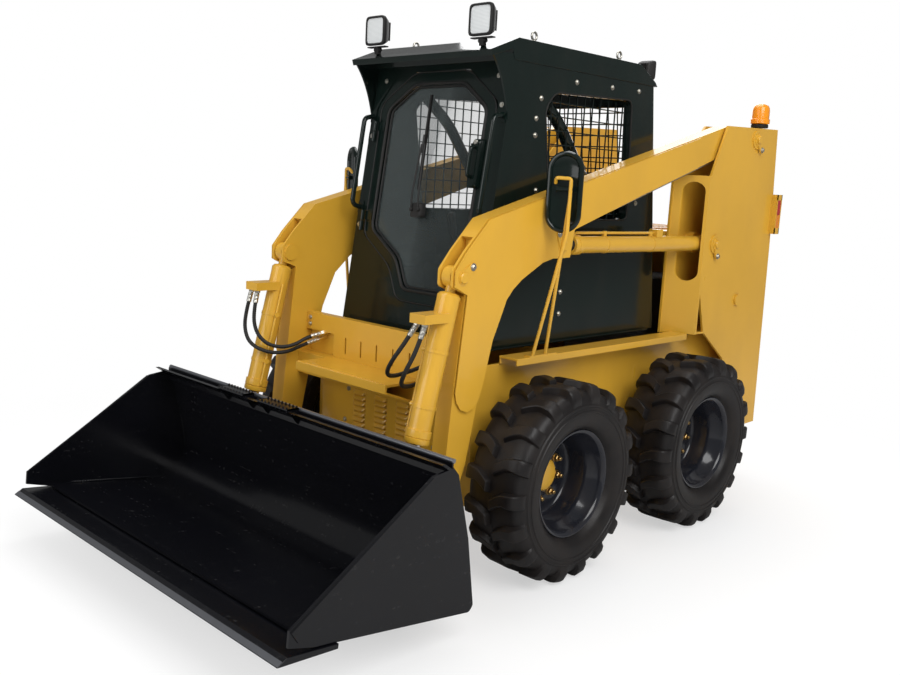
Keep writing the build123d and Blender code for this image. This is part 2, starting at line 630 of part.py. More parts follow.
def hose(route):
    """Hose along straight runs joined by arcs, each as large as its two runs allow."""
    radii = []
    for a, b, c in zip(route, route[1:], route[2:]):
        u = Vector(*b) - Vector(*a)
        v = Vector(*c) - Vector(*b)
        radii.append(0.45 * min(u.length, v.length) / math.tan(math.radians(u.get_angle(v) / 2)))
    path = FilletPolyline(*route, radius=radii)
    print("hose radii", [round(r) for r in radii], "length", round(path.length))
    return sweep(Plane(origin=path @ 0, z_dir=path % 0) * Circle(HOSE_RADIUS), path)


def wheel_nodes():
    """Rows of (node, solid) for the four wheels."""
    rubber, steel, centre = tyre(), rim(), hub()
    rows = []
    for end, x in (("front", WHEELBASE), ("rear", 0.0)):
        for side in ("left", "right"):
            for name, solid in (("tyre", rubber), ("rim", steel), ("hub", centre)):
                placed = Pos(x, WHEEL_Y, TYRE_RADIUS) * solid
                rows.append((f"{name}_{end}_{side}", placed if side == "left" else mirrored(placed)))
    return rows


def main():
    """Builds every piece and writes one file for each."""
    rows = wheel_nodes()
    singles = (chassis_tub, belly_panel, step_panel, rear_frame, engine_block, tail_lamps, beacon,
               mirrors, cab_shell, cab_roof, window_meshes, work_lamps, eye_bolts, seat, cab_floor,
               grab_handles, front_door, door_glass, wiper, rear_door, engine_hood, boom, coupler, bucket,
               cutting_edge)
    rows += [(make.__name__, make()) for make in singles]
    rows += [(name, hose(route)) for name, route in HOSE_ROUTES]
    for make in (fender, tower, lift_barrel, lift_rod, tilt_barrel, tilt_rod):
        left = make()
        rows += [(make.__name__ + "_left", left), (make.__name__ + "_right", mirrored(left))]
    os.makedirs("parts", exist_ok=True)
    for node, solid in rows:
        export_step(Pos(-ORIGIN_X, 0, 0) * solid, f"parts/{node}.step")


main()
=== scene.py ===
"""Looks of a skid-steer loader: finishes, tyres, wheels, hoses, glass and small fittings.

Metres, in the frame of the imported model: +X forward, +Y the machine's left, +Z up, ground at z = 0.
"""
import math

import bmesh
import bpy
import numpy as np
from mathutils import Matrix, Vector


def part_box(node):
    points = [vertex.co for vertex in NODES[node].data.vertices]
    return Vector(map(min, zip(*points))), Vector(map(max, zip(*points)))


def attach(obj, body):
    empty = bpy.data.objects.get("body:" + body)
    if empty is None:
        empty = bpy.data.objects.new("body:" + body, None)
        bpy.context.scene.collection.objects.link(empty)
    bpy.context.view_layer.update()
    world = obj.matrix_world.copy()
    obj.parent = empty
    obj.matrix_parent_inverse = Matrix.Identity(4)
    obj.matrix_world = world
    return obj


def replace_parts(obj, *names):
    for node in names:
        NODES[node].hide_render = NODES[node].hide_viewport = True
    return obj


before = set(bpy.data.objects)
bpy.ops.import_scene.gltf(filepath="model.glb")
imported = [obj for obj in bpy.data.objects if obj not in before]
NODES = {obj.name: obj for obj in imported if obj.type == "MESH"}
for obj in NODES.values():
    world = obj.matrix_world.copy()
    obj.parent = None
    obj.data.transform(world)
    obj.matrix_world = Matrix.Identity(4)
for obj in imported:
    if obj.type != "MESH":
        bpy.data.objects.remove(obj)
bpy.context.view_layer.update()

bl_info = {
    "name": "Skid-steer loader looks",
    "version": (1, 0, 0),
    "blender": (4, 5, 0),
    "location": "View3D > Sidebar > Loader",
    "description": "Finishes, tyres, wheels, hoses, glass and small fittings of a skid-steer loader",
    "category": "Object",
}

# Distance from the rear axle, where the source's x starts, to the middle of the length
ORIGIN_X = 0.810
SIDES = (("left", 1), ("right", -1))
WHEELS = [(end, side, sign) for end in ("front", "rear") for side, sign in SIDES]

# Body, slot and finish of pieces that share all three
YELLOW_CHASSIS = ("chassis", "yellow_paint", "yellow paint")
YELLOW_BOOM = ("boom", "yellow_paint", "yellow paint")
YELLOW_REAR_DOOR = ("rear_door", "yellow_paint", "yellow paint")
CAB_STEEL = ("chassis", "black_cab_paint", "cab paint")
CAB_PLASTIC = ("chassis", "black_cab_paint", "black rubber")
CAB_SEAL = ("chassis", "black_hose", "black rubber")
LAMP_GLASS = ("chassis", "clear_glass", "lamp glass")
DOOR_STEEL = ("front_door", "black_cab_paint", "cab paint")
BUCKET_STEEL = ("bucket", "black_bucket_paint", "bucket paint")
BOOM_ZINC = ("boom", "zinc_steel", "zinc")

# How bright the surroundings are as light and in reflections, and how light the floor is in reflections
SKY_AS_LIGHT = 0.42
SKY_IN_REFLECTIONS = 0.22
FLOOR_IN_REFLECTIONS = 0.42


def place(x, y, z):
    """A point measured from the rear axle, in the frame of the model."""
    return (x - ORIGIN_X, y, z)


# Shader maths


class Value:
    """A socket whose arithmetic adds Math nodes to its tree."""

    def __init__(self, sheet, socket):
        self.sheet = sheet
        self.socket = socket

    def _math(self, operation, *values):
        return self.sheet.node("ShaderNodeMath", {"operation": operation}, dict(enumerate(values)))

    def __add__(self, other):
        return self._math("ADD", self, other)

    def __sub__(self, other):
        return self._math("SUBTRACT", self, other)

    def __rsub__(self, other):
        return self._math("SUBTRACT", other, self)

    def __mul__(self, other):
        return self._math("MULTIPLY", self, other)

    def __truediv__(self, other):
        return self._math("DIVIDE", self, other)

    __radd__ = __add__
    __rmul__ = __mul__

    def clamped(self):
        """The value kept between 0 and 1."""
        return self.sheet.node("ShaderNodeClamp", {}, {0: self})


class Sheet:
    """A material's node tree."""

    def __init__(self, name):
        self.material = bpy.data.materials.new(name)
        self.material.use_nodes = True
        self.tree = self.material.node_tree
        self.tree.nodes.clear()
        self.place = self.node("ShaderNodeTexCoord", {}, {}, "Object")

    def node(self, kind, settings, inputs, output=0):
        """Adds a node, sets its settings, then its sockets, and returns one of its outputs."""
        made = self.tree.nodes.new(kind)
        for key, value in settings.items():
            if key == "stops":
                for stop, (position, shade) in zip(made.color_ramp.elements, value):
                    stop.position = position
                    stop.color = (shade, shade, shade, 1.0)
            else:
                setattr(made, key, value)
        for key, value in inputs.items():
            if isinstance(value, Value):
                self.tree.links.new(value.socket, made.inputs[key])
            else:
                made.inputs[key].default_value = value
        return Value(self, made.outputs[output]) if made.outputs else None

    def noise(self, scale, detail=3.0, stretch=(1.0, 1.0, 1.0), offset=0.0):
        """Noise on object coordinates, stretched along the axes."""
        moved = self.node("ShaderNodeMapping", {}, {"Vector": self.place, "Scale": stretch,
                                                    "Location": (offset, offset, offset)})
        return self.node("ShaderNodeTexNoise", {}, {"Vector": moved, "Scale": scale, "Detail": detail}, "Fac")

    def ramp(self, value, low, high):
        """0 below low, 1 above high and straight between."""
        return self.node("ShaderNodeValToRGB", {"stops": ((low, 0.0), (high, 1.0))}, {0: value})

    def mix(self, factor, first, second):
        """The first colour where the factor is 0 and the second where it is 1."""
        sockets = {0: factor, 6: first if isinstance(first, Value) else (*first, 1.0),
                   7: second if isinstance(second, Value) else (*second, 1.0)}
        return self.node("ShaderNodeMix", {"data_type": "RGBA"}, sockets, 2)

    def height(self):
        """Height above the ground."""
        return self.node("ShaderNodeSeparateXYZ", {}, {0: self.place}, "Z")

    def bump(self, field, strength, distance, below=None):
        """A normal bent by a height field, over another where one is given."""
        sockets = {"Height": field, "Strength": strength, "Distance": distance}
        if below is not None:
            sockets["Normal"] = below
        return self.node("ShaderNodeBump", {}, sockets)

    def surface(self, **sockets):
        """Ends the material in a Principled shader and returns it."""
        named = {key.replace("_", " ").title().replace("Ior", "IOR"): value for key, value in sockets.items()}
        named = {key: (*value, 1.0) if isinstance(value, tuple) and len(value) == 3 else value
                 for key, value in named.items()}
        shader = self.node("ShaderNodeBsdfPrincipled", {}, named)
        self.node("ShaderNodeOutputMaterial", {}, {"Surface": shader})
        return self.material


def gloss_paint(name, colour, dirt, peel, coat, rough):
    """Sprayed paint: faint clouding, dust low down, plate waves and orange peel in the normal."""
    sheet = Sheet(name)
    cloud = sheet.noise(2.3, 4.0)
    shaded = tuple(0.90 * c for c in colour)
    body = sheet.mix(sheet.ramp(cloud, 0.35, 0.75), colour, shaded)
    grime = sheet.ramp(sheet.noise(9.0, 6.0, (1.0, 1.0, 0.45), 3.1), 0.45, 0.80)
    low = ((0.62 - sheet.height()) / 0.62).clamped()
    dusty = (low * 0.45 + 0.08) * grime
    tint = sheet.mix(dusty, body, dirt)
    wave = sheet.noise(5.0, 1.0)
    grain = sheet.noise(420.0, 2.0)
    normal = sheet.bump(grain, peel, 0.0006, sheet.bump(wave, 0.10, 0.012))
    smear = sheet.noise(14.0, 5.0, (1.0, 1.0, 0.3), 7.7)
    return sheet.surface(base_color=tint, roughness=smear * 0.12 + dusty * 0.25 + (rough - 0.06),
                         normal=normal, coat_weight=coat, coat_roughness=0.05, specular_ior_level=0.35)


def scuffed_steel_paint(name, colour, bare):
    """Bucket paint: gloss black with long fine scratches, which show a little bare steel."""
    sheet = Sheet(name)
    scratch = sheet.noise(60.0, 6.0, (0.06, 1.0, 1.0))
    cross = sheet.noise(75.0, 5.0, (1.0, 0.08, 1.0), 4.2)
    marks = sheet.ramp(scratch * cross, 0.33, 0.48)
    cloud = sheet.noise(3.0, 4.0)
    tint = sheet.mix(marks * 0.03, sheet.mix(cloud, colour, tuple(0.6 * c for c in colour)), bare)
    grain = sheet.bump(sheet.noise(300.0, 2.0), 0.05, 0.0006, sheet.bump(sheet.noise(4.0, 2.0), 0.14, 0.014))
    return sheet.surface(base_color=tint, roughness=marks * 0.12 + cloud * 0.14 + 0.14, normal=grain,
                         coat_weight=0.04, coat_roughness=0.08, specular_ior_level=0.40)


def rubber(name, colour, dust, rough):
    """Tyre or hose rubber: matt, with dust in patches and a fine skin."""
    sheet = Sheet(name)
    patch = sheet.ramp(sheet.noise(7.0, 6.0), 0.42, 0.78)
    fine = sheet.noise(38.0, 5.0)
    tint = sheet.mix(patch * 0.22 + fine * 0.05, colour, dust)
    skin = sheet.bump(sheet.noise(260.0, 3.0), 0.16, 0.0010, sheet.bump(fine, 0.08, 0.004))
    return sheet.surface(base_color=tint, roughness=patch * 0.14 + fine * 0.10 + rough, normal=skin,
                         specular_ior_level=0.32)


def bare_metal(name, colour, rough, grain):
    """Plated or polished metal with turned or brushed streaks."""
    sheet = Sheet(name)
    streak = sheet.noise(grain, 4.0, (0.2, 1.0, 1.0))
    blotch = sheet.noise(25.0, 4.0, (1.0, 1.0, 1.0), 2.0)
    tint = sheet.mix(blotch * 0.35, colour, tuple(0.7 * c for c in colour))
    return sheet.surface(base_color=tint, metallic=1.0, roughness=streak * 0.12 + blotch * 0.08 + rough,
                         normal=sheet.bump(streak, 0.04, 0.0004))


def clear_pane(name, tint):
    """Thin window glass: nearly clear face on and mirror-like at a shallow angle, with faint smears."""
    sheet = Sheet(name)
    facing = sheet.node("ShaderNodeLayerWeight", {}, {"Blend": 0.28}, "Fresnel")
    smear = sheet.ramp(sheet.noise(6.0, 5.0, (1.0, 1.0, 0.4)), 0.45, 0.85)
    return sheet.surface(base_color=tint, roughness=smear * 0.12 + 0.03,
                         alpha=facing * 0.55 + smear * 0.02 + 0.10, specular_ior_level=0.8)


def lens(name, colour, deep):
    """Moulded lamp lens with fine ribs."""
    sheet = Sheet(name)
    ribs = sheet.node("ShaderNodeTexWave", {"bands_direction": "Z"}, {"Vector": sheet.place, "Scale": 60.0},
                      "Fac")
    tint = sheet.mix(ribs * 0.6, colour, deep)
    return sheet.surface(base_color=tint, roughness=ribs * 0.08 + 0.12, coat_weight=0.6,
                         normal=sheet.bump(ribs, 0.35, 0.0015))


def woven(name, colour, dark):
    """Seat cloth: a plain weave from two crossed waves, with worn patches."""
    sheet = Sheet(name)
    warp = sheet.node("ShaderNodeTexWave", {"bands_direction": "Y"}, {"Vector": sheet.place, "Scale": 190.0},
                      "Fac")
    weft = sheet.node("ShaderNodeTexWave", {"bands_direction": "Z"}, {"Vector": sheet.place, "Scale": 190.0},
                      "Fac")
    weave = warp * weft
    worn = sheet.noise(9.0, 4.0)
    return sheet.surface(base_color=sheet.mix(weave * 0.6 + worn * 0.3, dark, colour),
                         roughness=worn * 0.1 + 0.8, normal=sheet.bump(weave, 0.3, 0.0012))


def cast(name, colour):
    """Sand-cast iron with oil staining."""
    sheet = Sheet(name)
    sand = sheet.noise(160.0, 5.0)
    stain = sheet.noise(6.0, 5.0)
    return sheet.surface(base_color=sheet.mix(stain, colour, tuple(0.4 * c for c in colour)),
                         roughness=stain * 0.2 + 0.55, metallic=0.4, normal=sheet.bump(sand, 0.4, 0.002))


class LoaderColours(bpy.types.PropertyGroup):
    """Colours of the machine's finishes."""

    def colour(name, description, default):
        return bpy.props.FloatVectorProperty(name=name, description=description, default=default, size=3,
                                             subtype="COLOR", min=0.0, max=1.0)

    yellow: colour("Yellow", "Paint of the chassis and the arms", (0.680, 0.375, 0.036))
    cab: colour("Cab black", "Paint of the cab, its roof and its door", (0.0040, 0.0095, 0.0078))
    bucket: colour("Bucket black", "Paint of the bucket", (0.0040, 0.0042, 0.0060))
    wheel: colour("Wheel black", "Paint of the rims", (0.0130, 0.0142, 0.0195))
    tyre: colour("Tyre", "Clean tread rubber", (0.0075, 0.0064, 0.0066))
    dust: colour("Dust", "Dry dust on rubber and paint", (0.060, 0.046, 0.038))
    chrome: colour("Chrome", "Piston rods", (0.82, 0.82, 0.84))
    zinc: colour("Zinc", "Bolts and hose fittings", (0.62, 0.60, 0.54))
    brass: colour("Brass", "Plated wheel nuts", (0.60, 0.40, 0.16))
    seat: colour("Seat cloth", "Seat cushions", (0.13, 0.13, 0.135))
    red: colour("Red lens", "Tail lamps", (0.50, 0.015, 0.015))
    amber: colour("Amber lens", "Beacon and turn lamps", (0.85, 0.27, 0.01))


class LoaderSizes(bpy.types.PropertyGroup):
    """Sizes that a user would change."""

    def length(name, description, default):
        return bpy.props.FloatProperty(name=name, description=description, default=default, min=0.0,
                                       subtype="DISTANCE", unit="LENGTH", precision=4)

    edge: length("Edge rounding", "Radius of the painted plates' edges", 0.0022)
    lug_depth: length("Lug depth", "Height of the tyres' lugs", 0.026)
    bolt: length("Bolt head", "Radius of the panel bolts' heads", 0.0085)
    hose: length("Hose diameter", "Outer diameter of the hydraulic hoses", 0.017)


def finishes():
    """Makes every material once and returns them by name."""
    if "yellow paint" in bpy.data.materials:
        return bpy.data.materials
    c = bpy.context.scene.loader_colours
    dust = tuple(c.dust)
    gloss_paint("yellow paint", tuple(c.yellow), (0.34, 0.20, 0.07), 0.05, 0.35, 0.30)
    gloss_paint("cab paint", tuple(c.cab), dust, 0.04, 0.12, 0.14)
    gloss_paint("wheel paint", tuple(c.wheel), dust, 0.04, 0.3, 0.14)
    scuffed_steel_paint("bucket paint", tuple(c.bucket), (0.35, 0.34, 0.33))
    rubber("tyre rubber", tuple(c.tyre), dust, 0.36)
    rubber("black rubber", (0.012, 0.012, 0.012), (0.05, 0.045, 0.04), 0.42)
    bare_metal("chrome", tuple(c.chrome), 0.06, 90.0)
    bare_metal("zinc", tuple(c.zinc), 0.26, 240.0)
    bare_metal("brass", tuple(c.brass), 0.26, 240.0)
    clear_pane("window glass", (0.10, 0.12, 0.12))
    woven("seat cloth", tuple(c.seat), (0.02, 0.02, 0.02))
    lens("red lens", tuple(c.red), (0.16, 0.0, 0.0))
    lens("amber lens", tuple(c.amber), (0.40, 0.08, 0.0))
    lens("lamp glass", (0.80, 0.82, 0.82), (0.45, 0.47, 0.48))
    lens("beacon amber", (0.95, 0.36, 0.01), (0.75, 0.16, 0.0))
    bare_metal("worn lip", (0.34, 0.35, 0.38), 0.26, 60.0)
    cast("cast iron", (0.09, 0.09, 0.09))
    return bpy.data.materials


# Mesh helpers


def sheet_faces(rows, columns, wrap_rows, wrap_columns):
    """Quads of a grid of points, joined at its ends where it wraps."""
    i = np.arange(rows if wrap_rows else rows - 1)[:, None]
    j = np.arange(columns if wrap_columns else columns - 1)[None, :]
    i2, j2 = (i + 1) % rows, (j + 1) % columns
    return np.stack([i * columns + j, i2 * columns + j, i2 * columns + j2, i * columns + j2], -1).reshape(-1,
                                                                                                          4)


def joined(shapes):
    """One shape from several, each as (points, faces)."""
    points, faces, offset = [], [], 0
    for p, f in shapes:
        points.append(np.asarray(p, float).reshape(-1, 3))
        faces.append(np.asarray(f) + offset)
        offset += len(points[-1])
    return np.concatenate(points), np.concatenate(faces)


def piece(name, shape, body, slot, finish, smooth=True, crease=None):
    """A new mesh from (points, faces) that rides on a body, with a finish."""
    points, faces = shape
    mesh = bpy.data.meshes.new(name)
    mesh.from_pydata(np.asarray(points, float).reshape(-1, 3).tolist(), [], np.asarray(faces).tolist())
    closed = bmesh.new()
    closed.from_mesh(mesh)
    bmesh.ops.remove_doubles(closed, verts=closed.verts, dist=1e-6)
    bmesh.ops.recalc_face_normals(closed, faces=closed.faces)
    closed.to_mesh(mesh)
    closed.free()
    mesh.polygons.foreach_set("use_smooth", np.full(len(mesh.polygons), smooth))
    mesh.update()
    if crease is not None:
        mesh.set_sharp_from_angle(angle=math.radians(crease))
    made = bpy.data.objects.new(name, mesh)
    bpy.context.scene.collection.objects.link(made)
    made.data.materials.append(finishes()[finish])
    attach(made, body)
    return made


def fitted(name, shapes, body, slot, finish, crease=35):
    """A piece joined from shapes that are measured from the rear axle."""
    points, faces = joined(shapes)
    return piece(name, (points - (ORIGIN_X, 0, 0), faces), body, slot, finish, crease=crease)


def both(shapes):
    """Shapes and their mirror images across the middle of the machine."""
    return list(shapes) + [mirrored(shape, -1) for shape in shapes]


def lathe(profile, segments, centre, closed=True):
    """Revolves rows of (radius, y) about the Y axis through a centre: x and z are the radius times the
    cosine and the sine of the angle."""
    profile = np.asarray(profile, float)
    angle = np.linspace(0, 2 * math.pi, segments, endpoint=False)
    radius, y = profile[:, 0], profile[:, 1]
    points = np.stack([radius * np.cos(angle)[:, None], np.broadcast_to(y, (segments, len(y))),
                       radius * np.sin(angle)[:, None]], -1)
    return points + np.asarray(centre), sheet_faces(segments, len(profile), True, closed)


def mirrored(shape, sign):
    """The shape itself for +1, or its mirror image in the plane y = 0 for -1."""
    if sign > 0:
        return shape
    return np.asarray(shape[0]) * (1, -1, 1), np.asarray(shape[1])[:, ::-1]


def capped(points):
    """Tube faces of rings of points, with both ends closed by quads to a middle point."""
    rings, sides = points.shape[:2]
    first = np.broadcast_to(points[0].mean(0), (1, sides, 3))
    last = np.broadcast_to(points[-1].mean(0), (1, sides, 3))
    full = np.concatenate([first, points, last])
    return full.reshape(-1, 3), sheet_faces(rings + 2, sides, False, True)


def tube(path, radius, sides=12):
    """A circle carried along a path: each ring stands across the path's direction. The radius is one
    number or one for each point."""
    path = np.asarray(path, float)
    ahead = np.gradient(path, axis=0)
    ahead /= np.linalg.norm(ahead, axis=1, keepdims=True)
    reference = np.where(np.abs(ahead[:, 1:2]) > 0.9, (1.0, 0.0, 0.0), (0.0, 1.0, 0.0))
    across = np.cross(ahead, reference)
    across /= np.linalg.norm(across, axis=1, keepdims=True)
    other = np.cross(ahead, across)
    angle = np.linspace(0, 2 * math.pi, sides, endpoint=False)
    ring = (across[:, None] * np.cos(angle)[:, None] + other[:, None] * np.sin(angle)[:, None])
    return capped(path[:, None] + ring * np.broadcast_to(radius, len(path))[:, None, None])


def bent(points, radius, steps=6):
    """A path of straight runs whose corners are quadratic curves that start a radius before each corner."""
    points = np.asarray(points, float)
    result = [points[:1]]
    share = np.linspace(0, 1, steps)[:, None]
    for a, b, c in zip(points, points[1:], points[2:]):
        start = b + (a - b) / np.linalg.norm(a - b) * radius
        end = b + (c - b) / np.linalg.norm(c - b) * radius
        result.append((1 - share) ** 2 * start + 2 * share * (1 - share) * b + share ** 2 * end)
    result.append(points[-1:])
    return np.concatenate(result)


def ruled(first, second, depth):
    """A plate between two curves of as many points, with a thickness along one direction."""
    first, second = np.asarray(first, float), np.asarray(second, float)
    return capped(np.stack([first, second, second + depth, first + depth], 1))


def block(low, high):
    """A rectangular block between two corners, as a plate with a thickness along Z."""
    (x0, y0, z0), (x1, y1, z1) = low, high
    return ruled([(x0, y0, z0), (x1, y0, z0)], [(x0, y1, z0), (x1, y1, z0)], (0, 0, z1 - z0))


def inset(outline, distance):
    """Each edge of a flat outline moved inwards. A corner moves along the sum of the two edges' normals,
    divided by one plus their dot product."""
    outline = np.asarray(outline, float)
    edge = np.roll(outline, -1, 0) - outline
    edge /= np.linalg.norm(edge, axis=1, keepdims=True)
    following = np.roll(outline, -1, 0)
    turn = np.sign(np.sum(outline[:, 0] * following[:, 1] - outline[:, 1] * following[:, 0]))
    normal = np.stack([-edge[:, 1], edge[:, 0]], -1) * turn
    before = np.roll(normal, 1, 0)
    share = distance / (1 + np.sum(normal * before, 1, keepdims=True))
    return outline + (normal + before) * share


def rounded(outline, radius, steps=6):
    """A closed outline whose corners are quadratic curves that start a radius before each corner."""
    outline = np.asarray(outline, float)
    back = np.roll(outline, 1, 0) - outline
    ahead = np.roll(outline, -1, 0) - outline
    start = outline + back / np.linalg.norm(back, axis=1, keepdims=True) * radius
    end = outline + ahead / np.linalg.norm(ahead, axis=1, keepdims=True) * radius
    share = np.linspace(0, 1, steps)[:, None, None]
    curve = (1 - share) ** 2 * start + 2 * share * (1 - share) * outline + share ** 2 * end
    return curve.transpose(1, 0, 2).reshape(-1, outline.shape[1])


def hoop(path, radius, normal, sides=8):
    """A circle carried round a closed path that lies across the normal."""
    path = np.asarray(path, float)
    ahead = np.roll(path, -1, 0) - np.roll(path, 1, 0)
    ahead /= np.linalg.norm(ahead, axis=1, keepdims=True)
    across = np.broadcast_to(np.asarray(normal, float) / np.linalg.norm(normal), path.shape)
    other = np.cross(ahead, across)
    angle = np.linspace(0, 2 * math.pi, sides, endpoint=False)
    ring = across[:, None] * np.cos(angle)[:, None] + other[:, None] * np.sin(angle)[:, None]
    return (path[:, None] + ring * radius).reshape(-1, 3), sheet_faces(len(path), sides, True, True)


def squircle(size, steps=48, power=0.28):
    """A rounded square of a half size: the cosine and the sine of the angle raised to a small power."""
    angle = np.linspace(0, 2 * math.pi, steps, endpoint=False)
    c, s = np.cos(angle), np.sin(angle)
    return np.stack([np.sign(c) * np.abs(c) ** power, np.sign(s) * np.abs(s) ** power], -1) * size


def stacked(rings):
    """A closed skin over rings of points that stand behind one another."""
    return capped(np.stack([np.asarray(ring, float) for ring in rings]))


def studs(places, directions, profile, sides):
    """One turned or six-sided head at each place: rows of (radius, height) stood along each direction."""
    places = np.asarray(places, float).reshape(-1, 3)
    up = np.broadcast_to(np.asarray(directions, float), places.shape)
    up = up / np.linalg.norm(up, axis=1, keepdims=True)
    reference = np.where(np.abs(up[:, 2:3]) > 0.9, (1.0, 0.0, 0.0), (0.0, 0.0, 1.0))
    across = np.cross(up, reference)
    across /= np.linalg.norm(across, axis=1, keepdims=True)
    other = np.cross(up, across)
    profile = np.asarray(profile, float)
    angle = np.linspace(0, 2 * math.pi, sides, endpoint=False)
    ring = across[:, None] * np.cos(angle)[:, None] + other[:, None] * np.sin(angle)[:, None]
    points = (places[:, None, None] + ring[:, None] * profile[:, 0][:, None, None]
              + up[:, None, None] * profile[:, 1][:, None, None])
    faces = sheet_faces(len(profile), sides, False, True)
    count = len(profile) * sides
    offsets = (np.arange(len(places)) * count)[:, None, None]
    return points.reshape(-1, 3), (faces[None] + offsets).reshape(-1, 4)


def hex_bolts(places, directions, radius):
    """Hexagon heads with a washer, each closed to a point on top."""
    r = radius
    washer = studs(places, directions, [(r * 1.45, 0), (r * 1.45, r * 0.2), (0, r * 0.2)], 12)
    head = studs(places, directions, [(r, r * 0.2), (r, r * 0.75), (r * 0.82, r * 0.9), (0, r * 0.9)], 6)
    return joined([washer, head])


def cushion(centre, size, power, segments=40):
    """A crowned closed form: a superellipsoid, whose sine and cosine are raised to a small power, so that
    its sides are full and its corners round."""
    u = np.linspace(0, 2 * math.pi, segments, endpoint=False)[:, None]
    v = np.linspace(-math.pi / 2, math.pi / 2, segments // 2 + 1)[None, :]

    def swell(value):
        return np.sign(value) * np.abs(value) ** power

    points = np.stack([swell(np.cos(u)) * swell(np.cos(v)), swell(np.sin(u)) * swell(np.cos(v)),
                       np.broadcast_to(swell(np.sin(v)), (segments, segments // 2 + 1))], -1)
    return points * np.asarray(size) / 2 + centre, sheet_faces(segments, segments // 2 + 1, True, False)


def slab(outline, thickness, axes, origin):
    """A flat plate: an outline of (u, v) carried along the normal of the two axes, both ends closed."""
    outline = np.asarray(outline, float)
    u, v = np.asarray(axes[0], float), np.asarray(axes[1], float)
    normal = np.cross(u, v)
    ring = outline[:, :1] * u + outline[:, 1:] * v + np.asarray(origin)
    return capped(np.stack([ring, ring + normal * thickness]))


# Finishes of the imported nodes

# Node prefix, finish, whether its edges are rounded
NODE_FINISHES = (
    ("tyre", "tyre rubber", False),
    ("rim", "wheel paint", False),
    ("hub", "yellow paint", False),
    ("cab_", "cab paint", True),
    ("grab_handles", "cab paint", False),
    ("front_door", "cab paint", True),
    ("window_meshes", "cab paint", False),
    ("work_lamps", "cab paint", True),
    ("wiper", "cab paint", False),
    ("mirrors", "cab paint", True),
    ("door_glass", "window glass", False),
    ("seat", "seat cloth", False),
    ("bucket", "bucket paint", True),
    ("cutting_edge", "bucket paint", True),
    ("coupler", "bucket paint", True),
    ("tail_lamps", "red lens", True),
    ("beacon", "amber lens", True),
    ("eye_bolts", "zinc", False),
    ("engine_block", "cast iron", True),
    ("hose", "black rubber", False),
    ("lift_rod", "chrome", False),
    ("tilt_rod", "chrome", False),
)


def dress_node(name, finish, rounded):
    """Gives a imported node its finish, smooth shading and, where asked, rounded edges."""
    node = NODES[name]
    node.data.materials.clear()
    node.data.materials.append(finishes()[finish])
    node.data.polygons.foreach_set("use_smooth", np.ones(len(node.data.polygons), bool))
    weld = node.modifiers.new("weld", "WELD")
    weld.merge_threshold = 0.00002
    if rounded:
        edges = node.modifiers.new("edges", "BEVEL")
        edges.width = bpy.context.scene.loader_sizes.edge
        edges.segments = 2
        edges.limit_method = "ANGLE"
        edges.angle_limit = math.radians(35)
        weigh = node.modifiers.new("faces", "WEIGHTED_NORMAL")
        weigh.weight = 100
    else:
        split = node.modifiers.new("split", "EDGE_SPLIT")
        split.split_angle = math.radians(35)


class LOADER_OT_dress(bpy.types.Operator):
    """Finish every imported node"""

    bl_idname = "loader.dress"
    bl_label = "Dress the packed nodes"

    def execute(self, context):
        for name in NODES:
            rows = [row for row in NODE_FINISHES if name.startswith(row[0])]
            finish, rounded = (rows[0][1], rows[0][2]) if rows else ("yellow paint", True)
            dress_node(name, finish, rounded)
        return {"FINISHED"}


# Wheels


